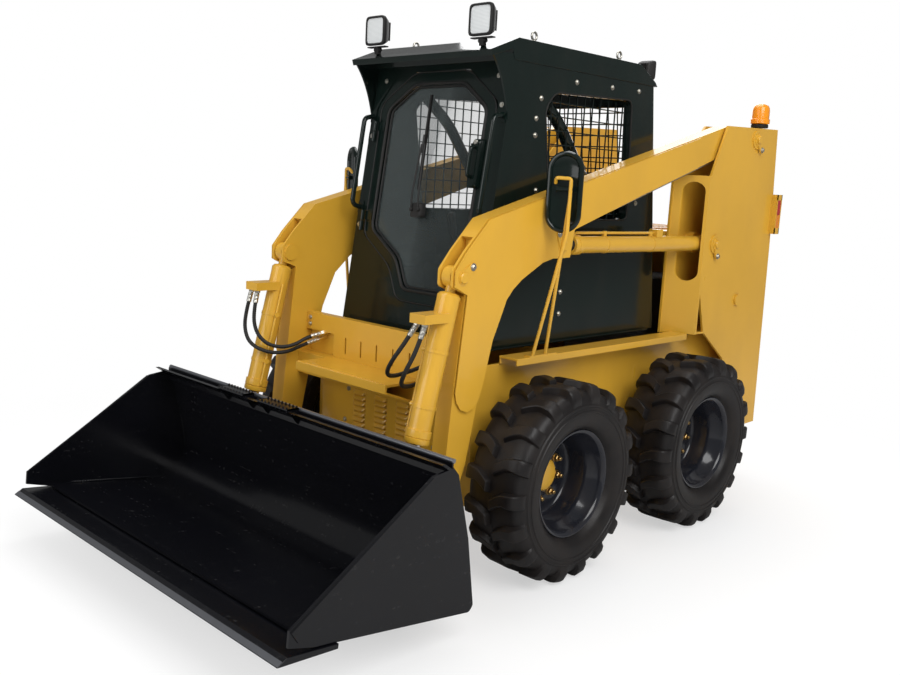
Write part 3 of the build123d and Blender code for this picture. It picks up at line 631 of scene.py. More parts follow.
def tread(centre, sign, lug_depth):
    """Tyre with staggered hooked lugs.

    The section runs from bead to bead and goes round the axle. At each station of the section the
    surface lies on the carcass, or on the lugs' outer skin where the lug mask is 1. The mask's edges
    follow each lug: its middle line bends back towards the tread's centre as a power of the distance
    from the shoulder, and the lugs of one half stand half a pitch from those of the other.
    """
    lugs, ground, outer = 18, 0.420 - lug_depth, 0.420
    # Stations from the centre to the bead: carcass (radius, y), skin (radius, y), mask
    half = np.array([
        (ground, 0.006, ground, 0.006, 0.0), (ground, 0.008, outer - 0.003, 0.009, 0.9),
        (ground, 0.011, outer, 0.012, 1.0), (ground, 0.022, outer, 0.022, 1.0),
        (ground, 0.036, outer, 0.036, 1.0), (ground, 0.050, outer, 0.050, 1.0),
        (ground, 0.064, outer, 0.064, 1.0), (ground - 0.001, 0.078, outer, 0.078, 1.0),
        (ground - 0.004, 0.098, outer - 0.001, 0.100, 1.0), (ground - 0.009, 0.114, outer - 0.006, 0.119,
                                                             1.0),
        (ground - 0.019, 0.126, outer - 0.017, 0.131, 1.0), (ground - 0.032, 0.134, outer - 0.044, 0.143,
                                                             1.0),
        (ground - 0.044, 0.138, ground - 0.034, 0.144, 0.9), (ground - 0.052, 0.1395, ground - 0.052, 0.1395,
                                                              0.0),
        (0.339, 0.141, 0, 0, 0), (0.336, 0.1445, 0, 0, 0), (0.331, 0.1445, 0, 0, 0), (0.328, 0.142, 0, 0, 0),
        (0.316, 0.143, 0, 0, 0), (0.313, 0.1465, 0, 0, 0), (0.308, 0.1465, 0, 0, 0), (0.305, 0.1435, 0, 0, 0),
        (0.285, 0.1425, 0, 0, 0), (0.266, 0.138, 0, 0, 0), (0.250, 0.131, 0, 0, 0), (0.240, 0.122, 0, 0, 0),
        (0.2345, 0.113, 0, 0, 0), (0.229, 0.1065, 0, 0, 0), (0.213, 0.104, 0, 0, 0)])
    half[14:, 2:4] = half[14:, 0:2]
    pitch = 2 * math.pi * outer / lugs
    reach = half[:, 3]
    bend = np.clip((0.078 - reach) / 0.070, 0, 1) ** 1.5
    middle = 0.003 - 0.038 * bend
    flank = np.interp(reach, (0.008, 0.078, 0.145), (0.021, 0.023, 0.030))
    draft, chamfer = 0.007, 0.004
    # Columns of one pitch: a place as (share of the flank, shift), and the mask there
    columns = ((-1, -draft, 0.0), (-1, 0, 0.9), (-1, chamfer, 1.0), (-0.35, 0, 1.0), (0.35, 0, 1.0),
               (1, -chamfer, 1.0), (1, 0, 0.9), (1, draft, 0.0))
    share, shift, cover = np.array(columns).T
    along = flank[:, None] * share + shift
    along = np.concatenate([np.full((len(half), 1), -pitch / 2), along], 1)
    cover = np.concatenate([[0.0], cover])
    section = []
    for turn in (1, -1):
        mask = half[:, 4:5] * cover
        radius = half[:, 0:1] + mask * (half[:, 2:3] - half[:, 0:1])
        y = half[:, 1:2] + mask * (half[:, 3:4] - half[:, 1:2])
        angle = (middle[:, None] + along + (0 if turn > 0 else pitch / 2)) / outer
        section.append(np.stack([radius, y * turn, angle], -1)[::turn])
    whole = np.concatenate([section[1], section[0]])
    turns = np.arange(lugs) * 2 * math.pi / lugs
    radius, y = (np.tile(whole[..., i], (1, lugs)) for i in (0, 1))
    angle = (whole[:, None, :, 2] + turns[None, :, None]).reshape(len(whole), -1)
    points = np.stack([radius * np.cos(angle), y, radius * np.sin(angle)], -1)
    shape = (points.reshape(-1, 3), sheet_faces(len(whole), points.shape[1], True, True)[:, ::-1])
    shape = mirrored(shape, sign)
    return shape[0] + np.asarray(centre), shape[1]


def rim_profile():
    """Closed section of the rim and its disc, as (radius, y): curled flanges, bead seats and the well
    outside, the deep bowl and the disc inside."""
    return np.array([
        (222, 112), (226, 112), (229, 108), (227, 104), (219, 101), (213, 97), (212, 60), (193, 47),
        (190, 20), (190, -30), (193, -47), (212, -60), (213, -97), (219, -101), (227, -104), (229, -108),
        (226, -112), (222, -112), (214, -108), (206, -98), (205, -62), (187, -50), (182, -76), (174, -80),
        (120, -76), (73, -73), (72, -72), (72, -61), (73, -60), (120, -60), (150, -62), (170, -60),
        (177, -54), (181, -44), (181, 20), (184, 44), (203, 60), (206, 96), (212, 106)]) / 1000


class LOADER_OT_wheels(bpy.types.Operator):
    """Tyres, rims, hubs and wheel nuts"""

    bl_idname = "loader.wheels"
    bl_label = "Wheels"

    def execute(self, context):
        for end, side, sign in WHEELS:
            body = f"wheel_{end}_{side}"
            low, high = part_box(f"tyre_{end}_{side}")
            centre = np.array((low + high) / 2)
            lug_depth = context.scene.loader_sizes.lug_depth
            made = piece(f"tread_{end}_{side}", tread(centre, sign, lug_depth), body, "tyre_rubber",
                         "tyre rubber", crease=32)
            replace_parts(made, f"tyre_{end}_{side}")
            steel = piece(f"wheel_{end}_{side}", self.rim(centre, sign), body, "black_wheel_paint",
                          "wheel paint", crease=50)
            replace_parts(steel, f"rim_{end}_{side}")
            core = piece(f"hub_face_{end}_{side}", self.hub(centre, sign), body, "yellow_paint",
                         "yellow paint", crease=40)
            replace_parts(core, f"hub_{end}_{side}")
            piece(f"wheel_nuts_{end}_{side}", self.nuts(centre, sign), body, "zinc_steel", "brass", crease=30)
        return {"FINISHED"}

    def rim(self, centre, sign):
        """The section revolved, with a valve stem through the bowl."""
        ring = lathe(rim_profile(), 120, (0, 0, 0))
        stem = tube([(0.150, -0.060, 0.085), (0.150, -0.040, 0.085), (0.150, -0.015, 0.085)], 0.005)
        points, faces = mirrored(joined([ring, stem]), sign)
        return points + centre, faces

    def hub(self, centre, sign):
        """Turned hub: a domed face, its boss and the flange behind the disc."""
        profile = np.array([(0, -30), (30, -30), (52, -31), (62, -34), (69, -40), (71, -46), (71, -73),
                            (131, -73),
                            (131, -92), (71, -93), (71, -112), (0, -112)]) / 1000
        points, faces = mirrored(lathe(profile, 64, (0, 0, 0), closed=False), sign)
        return points + centre, faces

    def nuts(self, centre, sign):
        """Eight nuts with cone seats and stud ends on the bolt circle."""
        angle = np.arange(8) * math.pi / 4 + 0.2
        circle = np.stack([0.103 * np.cos(angle), np.full(8, -0.060), 0.103 * np.sin(angle)], -1)
        cone = studs(circle, (0, 1, 0), [(0.021, 0), (0.019, 0.005), (0.016, 0.006), (0, 0.006)], 18)
        nut = studs(circle, (0, 1, 0), [(0.016, 0.004), (0.016, 0.018), (0.013, 0.021), (0.009, 0.021)], 6)
        stud = studs(circle, (0, 1, 0), [(0.009, 0.018), (0.009, 0.033), (0.007, 0.035), (0, 0.035)], 16)
        points, faces = mirrored(joined([cone, nut, stud]), sign)
        return points + centre, faces


# Hoses

# Hose node, its points from the cylinder's port to the cross member, from the rear axle
HOSES = (
    ("hose_right_outer", ((1.700, -0.562, 1.080), (1.724, -0.567, 0.992), (1.734, -0.562, 0.908),
                          (1.726, -0.524, 0.846), (1.676, -0.458, 0.814), (1.592, -0.430, 0.812),
                          (1.510, -0.430, 0.838), (1.445, -0.405, 0.862))),
    ("hose_right_inner", ((1.700, -0.516, 1.080), (1.722, -0.512, 0.992), (1.720, -0.496, 0.912),
                          (1.690, -0.460, 0.857), (1.627, -0.426, 0.838), (1.560, -0.406, 0.850),
                          (1.500, -0.402, 0.880), (1.445, -0.375, 0.896))),
    ("hose_left_outer", ((1.700, 0.562, 1.080), (1.722, 0.548, 0.990), (1.740, 0.510, 0.905),
                         (1.715, 0.460, 0.842), (1.640, 0.425, 0.820), (1.570, 0.415, 0.825),
                         (1.500, 0.424, 0.845), (1.445, 0.405, 0.862))),
    ("hose_left_inner", ((1.700, 0.516, 1.080), (1.728, 0.484, 1.006), (1.744, 0.438, 0.936),
                         (1.724, 0.388, 0.878), (1.662, 0.354, 0.850), (1.580, 0.352, 0.858),
                         (1.508, 0.374, 0.880), (1.445, 0.375, 0.896))),
)


def spline_points(name, route):
    """Points along a smooth NURBS curve of third order through the route's control points."""
    curve = bpy.data.curves.new(name, "CURVE")
    curve.dimensions = "3D"
    curve.resolution_u = 24
    spline = curve.splines.new("NURBS")
    spline.points.add(len(route) - 1)
    for point, where in zip(spline.points, route):
        point.co = (*place(*where), 1.0)
    spline.order_u = 3
    spline.use_endpoint_u = True
    made = bpy.data.objects.new(name, curve)
    bpy.context.scene.collection.objects.link(made)
    bpy.context.view_layer.update()
    mesh = bpy.data.meshes.new_from_object(made)
    points = np.zeros(len(mesh.vertices) * 3)
    mesh.vertices.foreach_get("co", points)
    bpy.data.objects.remove(made)
    return points.reshape(-1, 3)


class LOADER_OT_hoses(bpy.types.Operator):
    """Hydraulic hoses with their crimped ends"""

    bl_idname = "loader.hoses"
    bl_label = "Hoses"

    def execute(self, context):
        radius = context.scene.loader_sizes.hose / 2
        for node, route in HOSES:
            line = spline_points(node + "_line", route)
            gaps = np.linalg.norm(np.diff(line, axis=0), axis=1)
            run = np.concatenate([[0], np.cumsum(gaps)])
            even = np.linspace(0, run[-1], 260)
            path = np.stack([np.interp(even, run, line[:, i]) for i in range(3)], -1)
            # The spiral guard stands proud of the hose as a fine sine along its length
            swell = radius * (1 + 0.045 * np.sin(even * 2 * math.pi / 0.009))
            made = piece(node + "_skin", tube(path, swell, 16), "boom", "black_hose", "black rubber")
            ends = []
            for start, toward in ((path[0], path[0] - path[12]), (path[-1], path[-1] - path[-13])):
                toward = toward / np.linalg.norm(toward)
                ends.append(studs([start - toward * 0.045], [toward], self.crimp(radius), 20))
                ends.append(studs([start + toward * 0.002], [toward], self.nut(radius), 6))
            crimps = piece(node + "_ends", joined(ends), *BOOM_ZINC, crease=30)
            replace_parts(made, node)
        return {"FINISHED"}

    def crimp(self, radius):
        """Profile of the ferrule: two grooves pressed in."""
        r = radius * 1.3
        return [(radius, 0), (r, 0.001), (r, 0.012), (r * 0.9, 0.014), (r, 0.016), (r, 0.028),
                (r * 0.9, 0.030), (r, 0.032), (r, 0.044), (radius, 0.046)]

    def nut(self, radius):
        """Profile of the swivel nut that screws onto the port."""
        r = radius * 1.5
        return [(radius * 0.8, 0), (r * 0.95, 0), (r, 0.002), (r, 0.014), (r * 0.9, 0.016),
                (radius * 0.9, 0.016)]


# Cab

# Plane of the leaning cab front as (y, z) axes, and the door's outline on it
FRONT_LEAN = 0.144
FRONT_AXES = ((0, 1, 0), (-FRONT_LEAN, 0, 1))
FRONT_FOOT = 1.281 + 0.925 * FRONT_LEAN
FRONT_NORMAL = (1.0, 0.0, FRONT_LEAN)
DOOR = ((-0.352, 1.360), (-0.352, 1.955), (-0.160, 2.088), (0.170, 2.088), (0.352, 1.955), (0.352, 1.085),
        (-0.070, 1.085), (-0.150, 1.230))
SIDE_WINDOW = ((0.253, 2.037), (0.833, 2.016), (0.894, 1.948), (0.820, 1.480), (0.215, 1.480))


def on_front(outline, out=0.0):
    """Points of the cab's front from rows of (y, z), a little out of it."""
    outline = np.asarray(outline, float)
    return np.stack([FRONT_FOOT - FRONT_LEAN * outline[:, 1] + out, outline[:, 0], outline[:, 1]], -1)


def rear_wall(z, inside=0.0):
    """The x of the cab's rear wall at a height."""
    return -0.104 + (z - 0.925) * 0.1515 + inside


class LOADER_OT_cab(bpy.types.Operator):
    """Cab fittings: seals, rear mesh, inner braces, cheeks, hinges, latch and wiper"""

    bl_idname = "loader.cab"
    bl_label = "Cab fittings"

    def execute(self, context):
        seal = [hoop(on_front(rounded(inset(DOOR, 0.047), 0.035), 0.000), 0.0065, FRONT_NORMAL),
                hoop(on_front(rounded(inset(DOOR, 0.061), 0.030), -0.010), 0.0050, FRONT_NORMAL)]
        fitted("door_seal", seal, "front_door", "black_hose", "black rubber")
        frame_seal = [hoop(on_front(rounded(inset(DOOR, -0.0035), 0.045), 0.0005), 0.0030, FRONT_NORMAL)]
        fitted("opening_seal", frame_seal, *CAB_SEAL)
        window = rounded(inset(SIDE_WINDOW, -0.002), 0.040)
        trim = hoop(np.stack([window[:, 0], np.full(len(window), 0.4195), window[:, 1]], -1), 0.004,
                    (0, 1, 0))
        fitted("side_window_trim", both([trim]), *CAB_SEAL)
        fitted("rear_mesh", self.rear_mesh(), *CAB_STEEL)
        brace = tube(bent([(0.875, 0.345, 2.02), (0.70, 0.345, 1.90), (0.50, 0.345, 1.66),
                           (0.22, 0.345, 1.575),
                           (0.06, 0.345, 1.56)], 0.07), 0.027, 16)
        fitted("inner_braces", both([brace]), *CAB_STEEL)
        fitted("visor_cheeks", both([self.cheek()]), *CAB_STEEL)
        gusset = slab([(0.262, 2.100), (0.372, 2.110), (0.405, 2.010), (0.405, 1.880), (0.372, 1.958)], 0.004,
                      FRONT_AXES, (FRONT_FOOT + 0.001, 0, 0))
        fitted("corner_gussets", both([gusset]), *CAB_STEEL)
        self.hinges()
        self.latch()
        self.wiper()
        return {"FINISHED"}

    def rear_mesh(self):
        """Square bars over the rear window, along the leaning wall."""
        half, low, high, pitch = 0.300, 1.530, 2.030, 0.055
        bars = []
        for y in np.arange(-half + pitch / 2, half, pitch):
            bars.append(tube([(rear_wall(low, 0.018), y, low), (rear_wall(high, 0.018), y, high)], 0.0032, 6))
        for z in np.arange(low + pitch / 2, high, pitch):
            bars.append(tube([(rear_wall(z, 0.022), -half, z), (rear_wall(z, 0.022), half, z)], 0.0032, 6))
        rim = rounded([(-half, low), (-half, high), (half, high), (half, low)], 0.04)
        path = np.stack([rear_wall(rim[:, 1], 0.020), rim[:, 0], rim[:, 1]], -1)
        return bars + [hoop(path, 0.008, (1, 0, -0.1515))]

    def cheek(self):
        """Plate under the visor's end: its front edge is a quadratic curve that sweeps back to the pillar."""
        share = np.linspace(0, 1, 12)[:, None]
        start, middle, end = (np.array(p) for p in ((1.264, 2.141), (1.172, 2.050), (1.139, 1.880)))
        curve = (1 - share) ** 2 * start + 2 * share * (1 - share) * middle + share ** 2 * end
        back = np.stack([np.full(12, 1.10), curve[:, 1] + 0.004], -1)
        plates = [np.stack([row[:, 0], np.full(12, 0.414), row[:, 1]], -1) for row in (curve, back)]
        return ruled(*plates, (0, 0.008, 0))

    def hinges(self):
        """Two hinges on the door's right edge: knuckles on the joint's axis, and a leaf on each side."""
        y, out = -0.366, 0.016
        leaning = np.array([-FRONT_LEAN, 0, 1]) / math.hypot(FRONT_LEAN, 1)
        knuckles, leaves = {1: [], -1: []}, {1: [], -1: []}
        for z in (1.420, 1.830):
            for half, body_side in ((-0.046, -1), (0.002, 1)):
                foot = on_front([(y, z + half)], out)[0]
                knuckles[body_side].append(studs([foot], [leaning],
                                                 [(0, 0), (0.010, 0), (0.010, 0.044), (0, 0.044)], 20))
            leaves[1].append(slab([(-0.358, z + 0.004), (-0.312, z + 0.004), (-0.312, z + 0.044),
                                   (-0.358, z + 0.044)],
                                  0.005, FRONT_AXES, (FRONT_FOOT + 0.001, 0, 0)))
            leaves[-1].append(slab([(-0.414, z - 0.044), (-0.374, z - 0.044), (-0.374, z - 0.004),
                                    (-0.414, z - 0.004)],
                                   0.005, FRONT_AXES, (FRONT_FOOT + 0.001, 0, 0)))
        fitted("door_hinges", knuckles[1] + leaves[1], *DOOR_STEEL)
        fitted("door_hinge_feet", knuckles[-1] + leaves[-1], *CAB_STEEL)

    def latch(self):
        """Door latch: a handle in a cover on the door's left edge, with a key barrel."""
        shell = [on_front(rounded([(0.302 - w, 1.600 - h), (0.302 + w, 1.600 - h), (0.302 + w, 1.795 + h),
                                   (0.302 - w, 1.795 + h)], 0.012), out)
                 for w, h, out in ((0.024, 0.004, 0.001), (0.024, 0.004, 0.024), (0.018, -0.004, 0.036))]
        grip = tube(bent(on_front([(0.302, 1.640), (0.302, 1.650), (0.302, 1.760), (0.302, 1.770)], 0.0)
                         + [(0.034, 0, 0), (0.062, 0, 0), (0.062, 0, 0), (0.034, 0, 0)], 0.006), 0.008, 12)
        fitted("door_latch", [stacked(shell), grip], *DOOR_STEEL)
        barrel = studs([on_front([(0.302, 1.785)], 0.030)[0]], [FRONT_NORMAL],
                       [(0, 0), (0.011, 0), (0.011, 0.010), (0.009, 0.012), (0, 0.012)], 24)
        fitted("latch_lock", [barrel], "front_door", "zinc_steel", "zinc")

    def wiper(self):
        """Wiper: a motor cover, two arms side by side, and a blade with its clip."""
        cover = [on_front(rounded([(-w, 1.455), (w, 1.455), (w * 0.8, 1.520), (-w * 0.8, 1.520)], 0.014), out)
                 for w, out in ((0.036, 0.002), (0.036, 0.024), (0.028, 0.036))]
        arms = [tube(bent(on_front([(y, 1.490), (y * 0.9 - 0.004, 1.560), (y * 0.4 - 0.02, 1.775)], 0.0)
                          + [(0.040, 0, 0), (0.046, 0, 0), (0.026, 0, 0)], 0.03), 0.0042,
                          10) for y in (-0.022, 0.022)]
        hubs = studs(on_front([(-0.022, 1.490), (0.022, 1.490)], 0.034), FRONT_NORMAL,
                     [(0, 0), (0.009, 0), (0.009, 0.010), (0.006, 0.013), (0, 0.013)], 16)
        blade = ruled(on_front([(-0.016, 1.575), (-0.020, 1.990)], 0.006),
                      on_front([(-0.026, 1.575), (-0.030, 1.990)], 0.006),
                      (0.012, 0, 0))
        clip = tube(on_front([(-0.021, 1.735), (-0.024, 1.815)], 0.022), 0.006, 10)
        made = fitted("wiper_set", [stacked(cover), *arms, hubs, blade, clip], "front_door",
                      "black_cab_paint",
                      "black rubber")
        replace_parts(made, "wiper")


# Lamps


def lamp_shell(centre, facing, size):
    """Work lamp: a rounded square that grows from its back to the bezel, with cooling fins behind.

    Returns the housing's shapes and the lens. Each ring is the rounded square of its half size at a
    distance along the way it faces."""
    centre = np.asarray(centre, float)
    ahead = np.array([facing, 0.0, 0.0])
    rows = ((0.45, -0.030), (0.62, -0.027), (0.80, -0.015), (0.94, 0.004), (1.0, 0.012), (1.0, 0.022),
            (0.95, 0.025), (0.86, 0.025), (0.84, 0.020))

    def ring(share, out):
        flat = squircle(size * share)
        return centre + np.stack([np.zeros(len(flat)), flat[:, 0], flat[:, 1]], -1) + ahead * out

    shell = [stacked([ring(*row) for row in rows])]
    for y in np.linspace(-0.6, 0.6, 7) * size:
        shell.append(block(centre + (min(-0.036 * facing, 0), y - 0.0015, -size * 0.62),
                           centre + (max(-0.036 * facing, 0), y + 0.0015, size * 0.62)))
    lens = [stacked([ring(0.84, 0.018), ring(0.84, 0.0205), ring(0.6, 0.0225), ring(0.3, 0.0235)])]
    return shell, lens


class LOADER_OT_lamps(bpy.types.Operator):
    """Work lamps, tail lamps with their guards, beacon and marker"""

    bl_idname = "loader.lamps"
    bl_label = "Lamps"

    def execute(self, context):
        shell, lens = lamp_shell((1.207, 0.320, 2.2685), 1, 0.0640)
        fork = [block((1.196, 0.262, 2.197), (1.220, 0.378, 2.202)),
                block((1.198, 0.308, 2.168), (1.216, 0.332, 2.199))]
        knob = [studs([(1.207, 0.320, 2.188)], [(0, 1, 0)],
                      [(0, -0.02), (0.008, -0.02), (0.008, 0.02), (0, 0.02)], 12)]
        made = fitted("work_lamp_shells", both(shell + fork + knob), *CAB_PLASTIC)
        glass = fitted("work_lamp_lenses", both(lens), *LAMP_GLASS)
        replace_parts(made, "work_lamps")
        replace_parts(glass, "work_lamps")
        shell, lens = lamp_shell((0.040, 0.340, 2.205), -1, 0.046)
        arm = [tube(bent([(0.050, 0.340, 2.185), (0.085, 0.340, 2.170), (0.135, 0.340, 2.170)], 0.01), 0.009)]
        fitted("rear_lamp_shell", shell + arm, *CAB_PLASTIC)
        fitted("rear_lamp_lens", lens, *LAMP_GLASS)
        for finish, z0, z1 in (("amber", 1.995, 2.030), ("red", 1.958, 1.993)):
            marker = block((rear_wall(z0) - 0.022, 0.352, z0), (rear_wall(z0) + 0.004, 0.392, z1))
            fitted(f"marker_{finish}", [marker], "chassis", f"{finish}_lens", f"{finish} lens")
        self.tail_lamps()
        self.beacon()
        return {"FINISHED"}

    def tail_lamps(self):
        """Tall lamps, red over amber, behind a folded guard whose face has two rounded windows."""
        x0, x1, y0, z0, z1 = -0.983, -0.928, 0.601, 1.422, 1.638
        for finish, low, high in (("red", 1.528, 1.615), ("amber", 1.450, 1.526)):
            body = block((x0 + 0.006, y0, low), (x1 - 0.006, y0 + 0.0315, high))
            made = fitted(f"tail_lamp_{finish}", both([body]), "chassis", f"{finish}_lens", f"{finish} lens")
            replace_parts(made, "tail_lamps")
        guard = []
        face = y0 + 0.029
        for a, b in ((x0, x0 + 0.008), (x1 - 0.008, x1)):
            guard.append(block((a, face, z0), (b, face + 0.004, z1)))
        guard += [block((x0, face, z0), (x1, face + 0.004, z0 + 0.034)),
                  block((x0, face, z1 - 0.030), (x1, face + 0.004, z1)),
                  block((x1 - 0.004, y0 - 0.001, z0), (x1, face, z1)), block((x0, y0 - 0.001, z0),
                                                                             (x0 + 0.004, face, z1))]
        made = fitted("tail_lamp_guards", both(guard), *YELLOW_CHASSIS)
        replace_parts(made, "tail_lamps")

    def beacon(self):
        """Beacon: a black foot, an amber collar and a domed amber glass, each turned about the vertical."""
        centre = (-0.790, 0.550, 1.986)
        foot = studs([centre], [(0, 0, 1)], [(0, 0.002), (0.044, 0.002), (0.045, 0.006), (0.045, 0.018),
                                             (0.038, 0.022),
                                             (0, 0.022)], 40)
        glass = studs([centre], [(0, 0, 1)], [(0, 0.021), (0.040, 0.021), (0.050, 0.024), (0.051, 0.046),
                                              (0.0455, 0.050),
                                              (0.0455, 0.092), (0.0430, 0.107), (0.036, 0.119),
                                              (0.023, 0.126),
                                              (0.010, 0.1285), (0, 0.129)], 48)
        bulb = studs([centre], [(0, 0, 1)], [(0, 0.045), (0.012, 0.045), (0.013, 0.085), (0.006, 0.094),
                                             (0, 0.095)], 20)
        for name, shape, slot, finish in (("beacon_foot", foot, "black_cab_paint", "black rubber"),
                                          ("beacon_glass", glass, "amber_lens", "beacon amber"),
                                          ("beacon_bulb", bulb, "zinc_steel", "zinc")):
            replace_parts(fitted(name, [shape], "chassis", slot, finish), "beacon")


# Mirrors


class LOADER_OT_mirrors(bpy.types.Operator):
    """Oval mirrors with their rods"""

    bl_idname = "loader.mirrors"
    bl_label = "Mirrors"

    def execute(self, context):
        # The backs face forwards and out; u runs across the plate, n is the way the back faces
        n = np.array([0.904, 0.428, 0.0])
        u = np.array([-0.428, 0.904, 0.0])
        centre = np.array([1.045, 0.664, 1.600]) - n * 0.012

        def oval(radius, out):
            """A stadium: half circles of a radius joined by straight sides, a distance out of the plate."""
            angle = np.linspace(0, 2 * math.pi, 56, endpoint=False) + math.pi / 56
            across = radius * np.cos(angle)
            up = radius * np.sin(angle) + 0.090 * np.sign(np.sin(angle))
            return centre + across[:, None] * u + up[:, None] * (0, 0, 1) + out * n

        back = stacked([oval(r, h) for r, h in ((0.010, 0.010), (0.046, 0.010), (0.052, 0.012),
                                                (0.056, 0.019),
                                                (0.061, 0.0225), (0.068, 0.021), (0.0735, 0.014),
                                                (0.075, 0.005),
                                                (0.0735, 0.000), (0.068, -0.001), (0.010, -0.001))])
        glass = stacked([oval(r, h) for r, h in ((0.010, -0.004), (0.066, -0.004), (0.067, -0.003),
                                                 (0.067, 0.002),
                                                 (0.010, 0.002))])
        clamp = [tube([centre + n * 0.010 + u * 0.03 + (0, 0, 0.012),
                       centre + n * 0.030 + u * 0.03 + (0, 0, 0.012)], 0.010),
                 tube([centre + n * 0.010 - u * 0.015 + (0, 0, 0.012),
                       centre + n * 0.030 - u * 0.015 + (0, 0, 0.012)], 0.010),
                 tube([centre + n * 0.026 - u * 0.028 + (0, 0, 0.012),
                       centre + n * 0.026 + u * 0.040 + (0, 0, 0.012)], 0.011)]
        shells = fitted("mirror_backs", both([back, *clamp]), *CAB_STEEL)
        panes = fitted("mirror_panes", both([glass]), "chassis", "rod_chrome", "chrome")
        top = centre + n * 0.034 + u * 0.030
        hook = bent([(1.000, 0.592, 0.918), tuple(top - (0, 0, 0.03)), tuple(top + (0, 0, 0.055)),
                     tuple(top + (0, 0, 0.056) - u * 0.062),
                     tuple(top + (0, 0, 0.035) - u * 0.066 - n * 0.018)], 0.012)
        strut = bent([(1.085, 0.592, 0.918), tuple(top - (0, 0, 0.16) + n * 0.004),
                      tuple(top - (0, 0, 0.02))], 0.01)
        foot = ruled([(0.930, 0.566, 0.9145), (1.108, 0.566, 0.9145)],
                     [(0.930, 0.599, 0.9145), (1.108, 0.599, 0.9145)],
                     (0, 0, 0.006))
        rods = fitted("mirror_rods", both([tube(hook, 0.0075, 14), tube(strut, 0.0075, 14), foot]),
                      *YELLOW_CHASSIS)
        for made in (shells, panes, rods):
            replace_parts(made, "mirrors")
        return {"FINISHED"}


# Seat


class LOADER_OT_seat(bpy.types.Operator):
    """Seat cushions, the seat's frame, the side consoles and the levers"""

    bl_idname = "loader.seat"
    bl_label = "Seat"

    def execute(self, context):
        # Cushion: name, its middle, its size and how far it leans back for each metre of height
        rows = (("seat_cushion", (0.470, 0.0, 1.205), (0.455, 0.470, 0.100), 0.0),
                ("seat_back", (0.262, 0.0, 1.450), (0.095, 0.440, 0.400), -0.12),
                ("head_rest", (0.228, 0.0, 1.690), (0.080, 0.300, 0.110), -0.12))
        for name, centre, size, lean in rows:
            points, faces = cushion((0, 0, 0), size, 0.42, 56)
            channel = np.exp(-((np.abs(points[..., 1]) - size[1] * 0.33) / 0.011) ** 2)
            points = points * (1 - 0.10 * channel)[..., None]
            points[..., 0] += points[..., 2] * lean
            made = fitted(name, [(points + np.asarray(centre), faces)], "chassis", "grey_fabric",
                          "seat cloth", crease=80)
            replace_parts(made, "seat")
        shell = [stacked([[(x + s, y * w, z) for x,
                           y in rounded([(0.26, -1), (0.26, 1), (0.62, 1), (0.62, -1)], 0.03)]
                          for w, s, z in ((0.185, 0.0, 0.937), (0.185, 0.0, 0.960), (0.150, 0.0, 0.985),
                                          (0.165, 0.0, 1.010),
                                          (0.150, 0.0, 1.035), (0.165, 0.0, 1.060), (0.150, 0.0, 1.085),
                                          (0.195, 0.0, 1.105), (0.205, 0.0, 1.150))])]
        shell.append(ruled([(0.236, -0.20, 1.16), (0.156, -0.18, 1.70)],
                           [(0.236, 0.20, 1.16), (0.156, 0.18, 1.70)],
                           (0.014, 0, 0)))
        frame_piece = fitted("seat_frame", shell, *CAB_PLASTIC)
        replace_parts(frame_piece, "seat")
        console = stacked([[(x, y, z) for x, y in rounded([(0.39, 0.268 + t), (0.39, 0.345 - t),
                                                           (0.69, 0.345 - t),
                                                           (0.69, 0.268 + t)], 0.02)]
                           for t, z in ((0.0, 0.926), (0.0, 1.170), (0.006, 1.188), (0.020, 1.194))])
        lever = tube(bent([(0.60, 0.306, 1.185), (0.63, 0.306, 1.28), (0.665, 0.306, 1.36)], 0.03), 0.007)
        grip = studs([(0.660, 0.306, 1.350)], [(0.25, 0, 1)],
                     [(0, 0), (0.014, 0.0), (0.019, 0.03), (0.016, 0.07), (0.021, 0.10),
                                                              (0.014, 0.118), (0, 0.122)], 20)
        boot = studs([(0.60, 0.306, 1.190)], [(0.2, 0, 1)],
                     [(0.036, 0), (0.026, 0.014), (0.030, 0.018), (0.018, 0.034),
                                                             (0.022, 0.038), (0.010, 0.056)], 24)
        fitted("consoles", both([console, lever, grip, boot]), *CAB_PLASTIC)
        return {"FINISHED"}


# Cylinders and pins

ARM_Y = 0.537
LIFT_FOOT, LIFT_HEAD = (-0.340, 1.370), (0.925, 1.375)
TILT_HEAD, TILT_FOOT = (1.533, 1.262), (1.720, 0.500)
BOOM_PIVOT, BUCKET_HINGE = (-0.678, 1.918), (1.620, 0.280)


